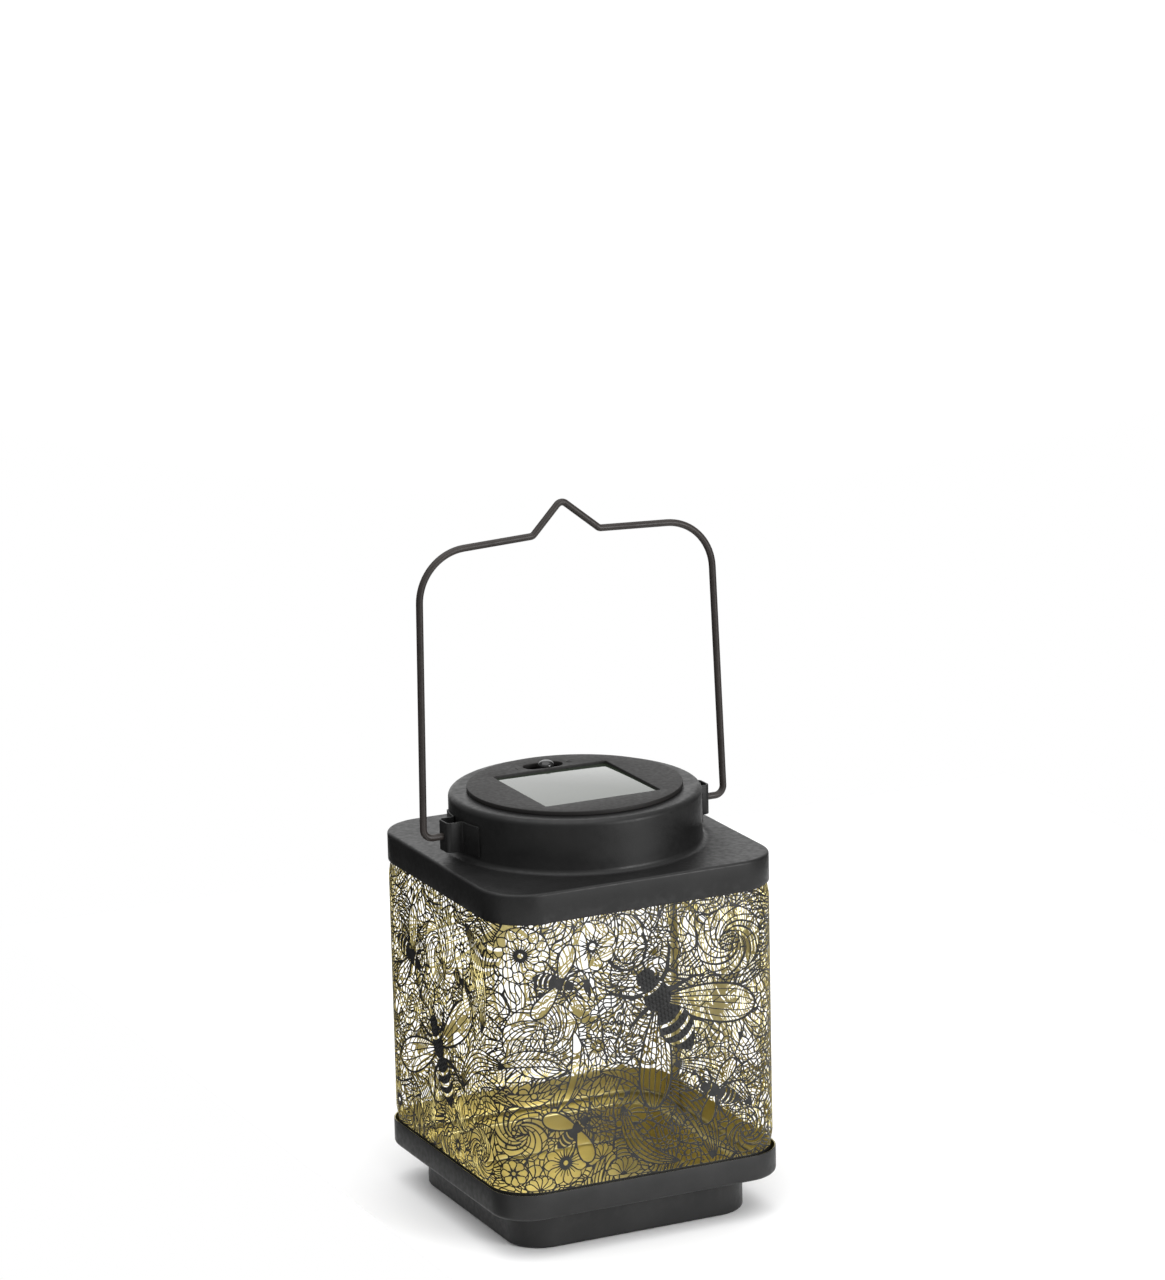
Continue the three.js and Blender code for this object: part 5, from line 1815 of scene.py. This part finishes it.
def make_seam():
    """The strip behind the sleeve's seam, which follows the sheet's bulge, with its row of spot welds."""
    low, high = (Vector(corner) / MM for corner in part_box("seam_strip"))
    middle = (low + high) / 2
    half_thick, half_wide = (high.x - low.x) / 2, (high.y - low.y) / 2
    heights = np.linspace(low.z, high.z, 61)
    path = [Vector((middle.x + float(bulge(z)), middle.y, z)) for z in heights]
    section = block_outline(0, 0, half_thick, half_wide, 0.12, 2)
    points, faces = swept(path, section, Vector((0, 1, 0)))
    strip = closed_piece("seam_band", (points, faces), GOLD)
    settle(strip, "shell", "gold_lacquer", "seam_strip")
    inside_x = middle.x - half_thick
    for i in range(WELDS):
        z = low.z + WELD_END + (high.z - low.z - 2 * WELD_END) * i / (WELDS - 1)
        profile = [(0, 0.12), (0.5, 0.1), (0.85, 0), (1.0, 0.08), (1.15, 0), (1.15, -0.15), (0, -0.15)]
        ring, weld_faces = turned_mesh(profile, 24)
        x = inside_x + float(bulge(z))
        ring = [(x - c, middle.y + a, z + b) for a, b, c in ring]
        weld = closed_piece(f"seam_weld_{i + 1}", (ring, weld_faces), GOLD_EDGE, degrees=50)
        settle(weld, "shell", "gold_lacquer", "seam_strip")


def dress(material, *nodes):
    """Gives CAD pieces that keep their own shape a finish."""
    for node in nodes:
        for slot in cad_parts[node].material_slots:
            slot.material = material


def dress_inner_parts():
    dress(solder_mask(), "circuit_board")
    dress(STEEL, "switch_body")
    dress(NICKEL, "contact_plate", "contact_spring")
    dress(tinted("coil_green_lacquer", (0.06, 0.26, 0.16), (0.09, 0.34, 0.21), 0.3, 150), "inductor_coil")
    for colour, dark, light in (
        ("red", (0.3, 0.012, 0.01), (0.42, 0.02, 0.015)),
        ("black", (0.012, 0.012, 0.012), (0.02, 0.02, 0.02)),
    ):
        sleeve = tinted(f"wire_{colour}_sleeve", dark, light, 0.4, 90)
        dress(sleeve, f"cell_wire_{colour}", f"battery_wire_{colour}")


# ================================================================ camera, light and floor

WALLS, DARK_CORNER, FAR_WALL = 0.7, 0.3, 1.1  # the world's light from three sides


def make_camera():
    """At the photograph's viewing angle, a little above and to the left of the front face."""
    azimuth, elevation, roll = math.radians(-25.13), math.radians(13.79), math.radians(-1.34)
    distance, aim_height, aim_side = 2145.0, 246.52, 4.74
    level = math.cos(elevation)
    back = Vector((math.sin(azimuth) * level, -math.cos(azimuth) * level, math.sin(elevation)))
    right = Vector((math.cos(azimuth), math.sin(azimuth), 0))
    up = right.cross(-back)
    level_right = right * math.cos(roll) + up * math.sin(roll)
    level_up = up * math.cos(roll) - right * math.sin(roll)
    place = (Vector((0, 0, aim_height)) + right * aim_side + back * distance) * MM
    data = bpy.data.cameras.new("camera")
    data.lens, data.sensor_width = 143.02, 36
    data.clip_start, data.clip_end = 0.05, 20
    camera = new_object("camera", data)
    camera.matrix_world = Matrix((level_right, level_up, back)).transposed().to_4x4()
    camera.location = place
    bpy.context.scene.camera = camera


def make_floor():
    far, beside, behind = 500, -92, -72
    points = [(-far, -far), (far, -far), (far, far), (beside, far), (beside, behind), (-far, behind)]
    points = [(x, y, 0) for x, y in points]
    floor = mesh_piece("floor", points, [tuple(range(6))], [], smooth=False)
    s = Shader("floor_paper")
    s.set(Base_Color=s.mix(s.noise(3, 3), grey(0.93), grey(0.95)), Roughness=0.9, Specular_IOR_Level=0.1)
    floor.data.materials.append(s.material)
    floor.location.z = -0.0002


def make_world():
    """White where the camera looks past the lantern. As light it is a studio with a bright far wall."""
    world = bpy.data.worlds.new("studio")
    bpy.context.scene.world = world
    n = Nodes(world, "Background")

    def lobe(direction, start, end, before, after):
        """A strength that changes as a light ray's direction nears a given one."""
        nearness = n.node("ShaderNodeVectorMath", {"operation": "DOT_PRODUCT"})
        n.put(nearness.inputs[0], n.node("ShaderNodeTexCoord").outputs["Generated"])
        n.put(nearness.inputs[1], direction)
        return n.span(nearness.outputs["Value"], start, end, before, after)

    room = lobe((-0.42, 0.9, 0.0), 0.25, 0.8, WALLS, DARK_CORNER)
    room = n.maths("MULTIPLY", room, lobe((0.95, 0.3, 0.0), 0.5, 0.85, 1.0, 0.12))
    room = n.maths("MULTIPLY", room, lobe((0.0, 0.0, 1.0), -0.16, 0.12, 0.08, 1.0))
    light = n.maths("ADD", room, lobe((0.42, 0.88, 0.22), 0.8, 0.92, 0.0, FAR_WALL))
    seen = n.node("ShaderNodeLightPath").outputs["Is Camera Ray"]
    n.set(Color=(1, 1, 1, 1), Strength=n.maths("MAXIMUM", light, seen))


def lamp(name, place, aim, width, height, watts):
    data = bpy.data.lights.new(name, "AREA")
    data.shape, data.size, data.size_y, data.energy = "RECTANGLE", width, height, watts
    made = new_object(name, data)
    made.location = place
    made.rotation_euler = (Vector(aim) - Vector(place)).to_track_quat("-Z", "Y").to_euler()


def make_light():
    middle = (0, 0, 0.1)
    lamp("overhead", (-0.3, -0.2, 2.3), (0, 0.1, 0), 3.2, 3.2, 60)
    lamp("front_box", (0.9, -1.7, 0.55), middle, 0.8, 1.0, 28)
    bpy.context.scene.view_settings.view_transform = "Standard"


make_camera()
make_world()
make_light()
make_floor()
make_base_pan()
make_top_cap()
make_sleeve()
make_bail()
make_bracket(-1, "bracket_strip_left", "bracket_left")
make_bracket(1, "bracket_strip_right", "bracket_right")
make_lid()
make_window()
make_knob()
make_lid_details()
make_can()
make_door()
make_screws()
make_power()
make_seam()
dress_inner_parts()
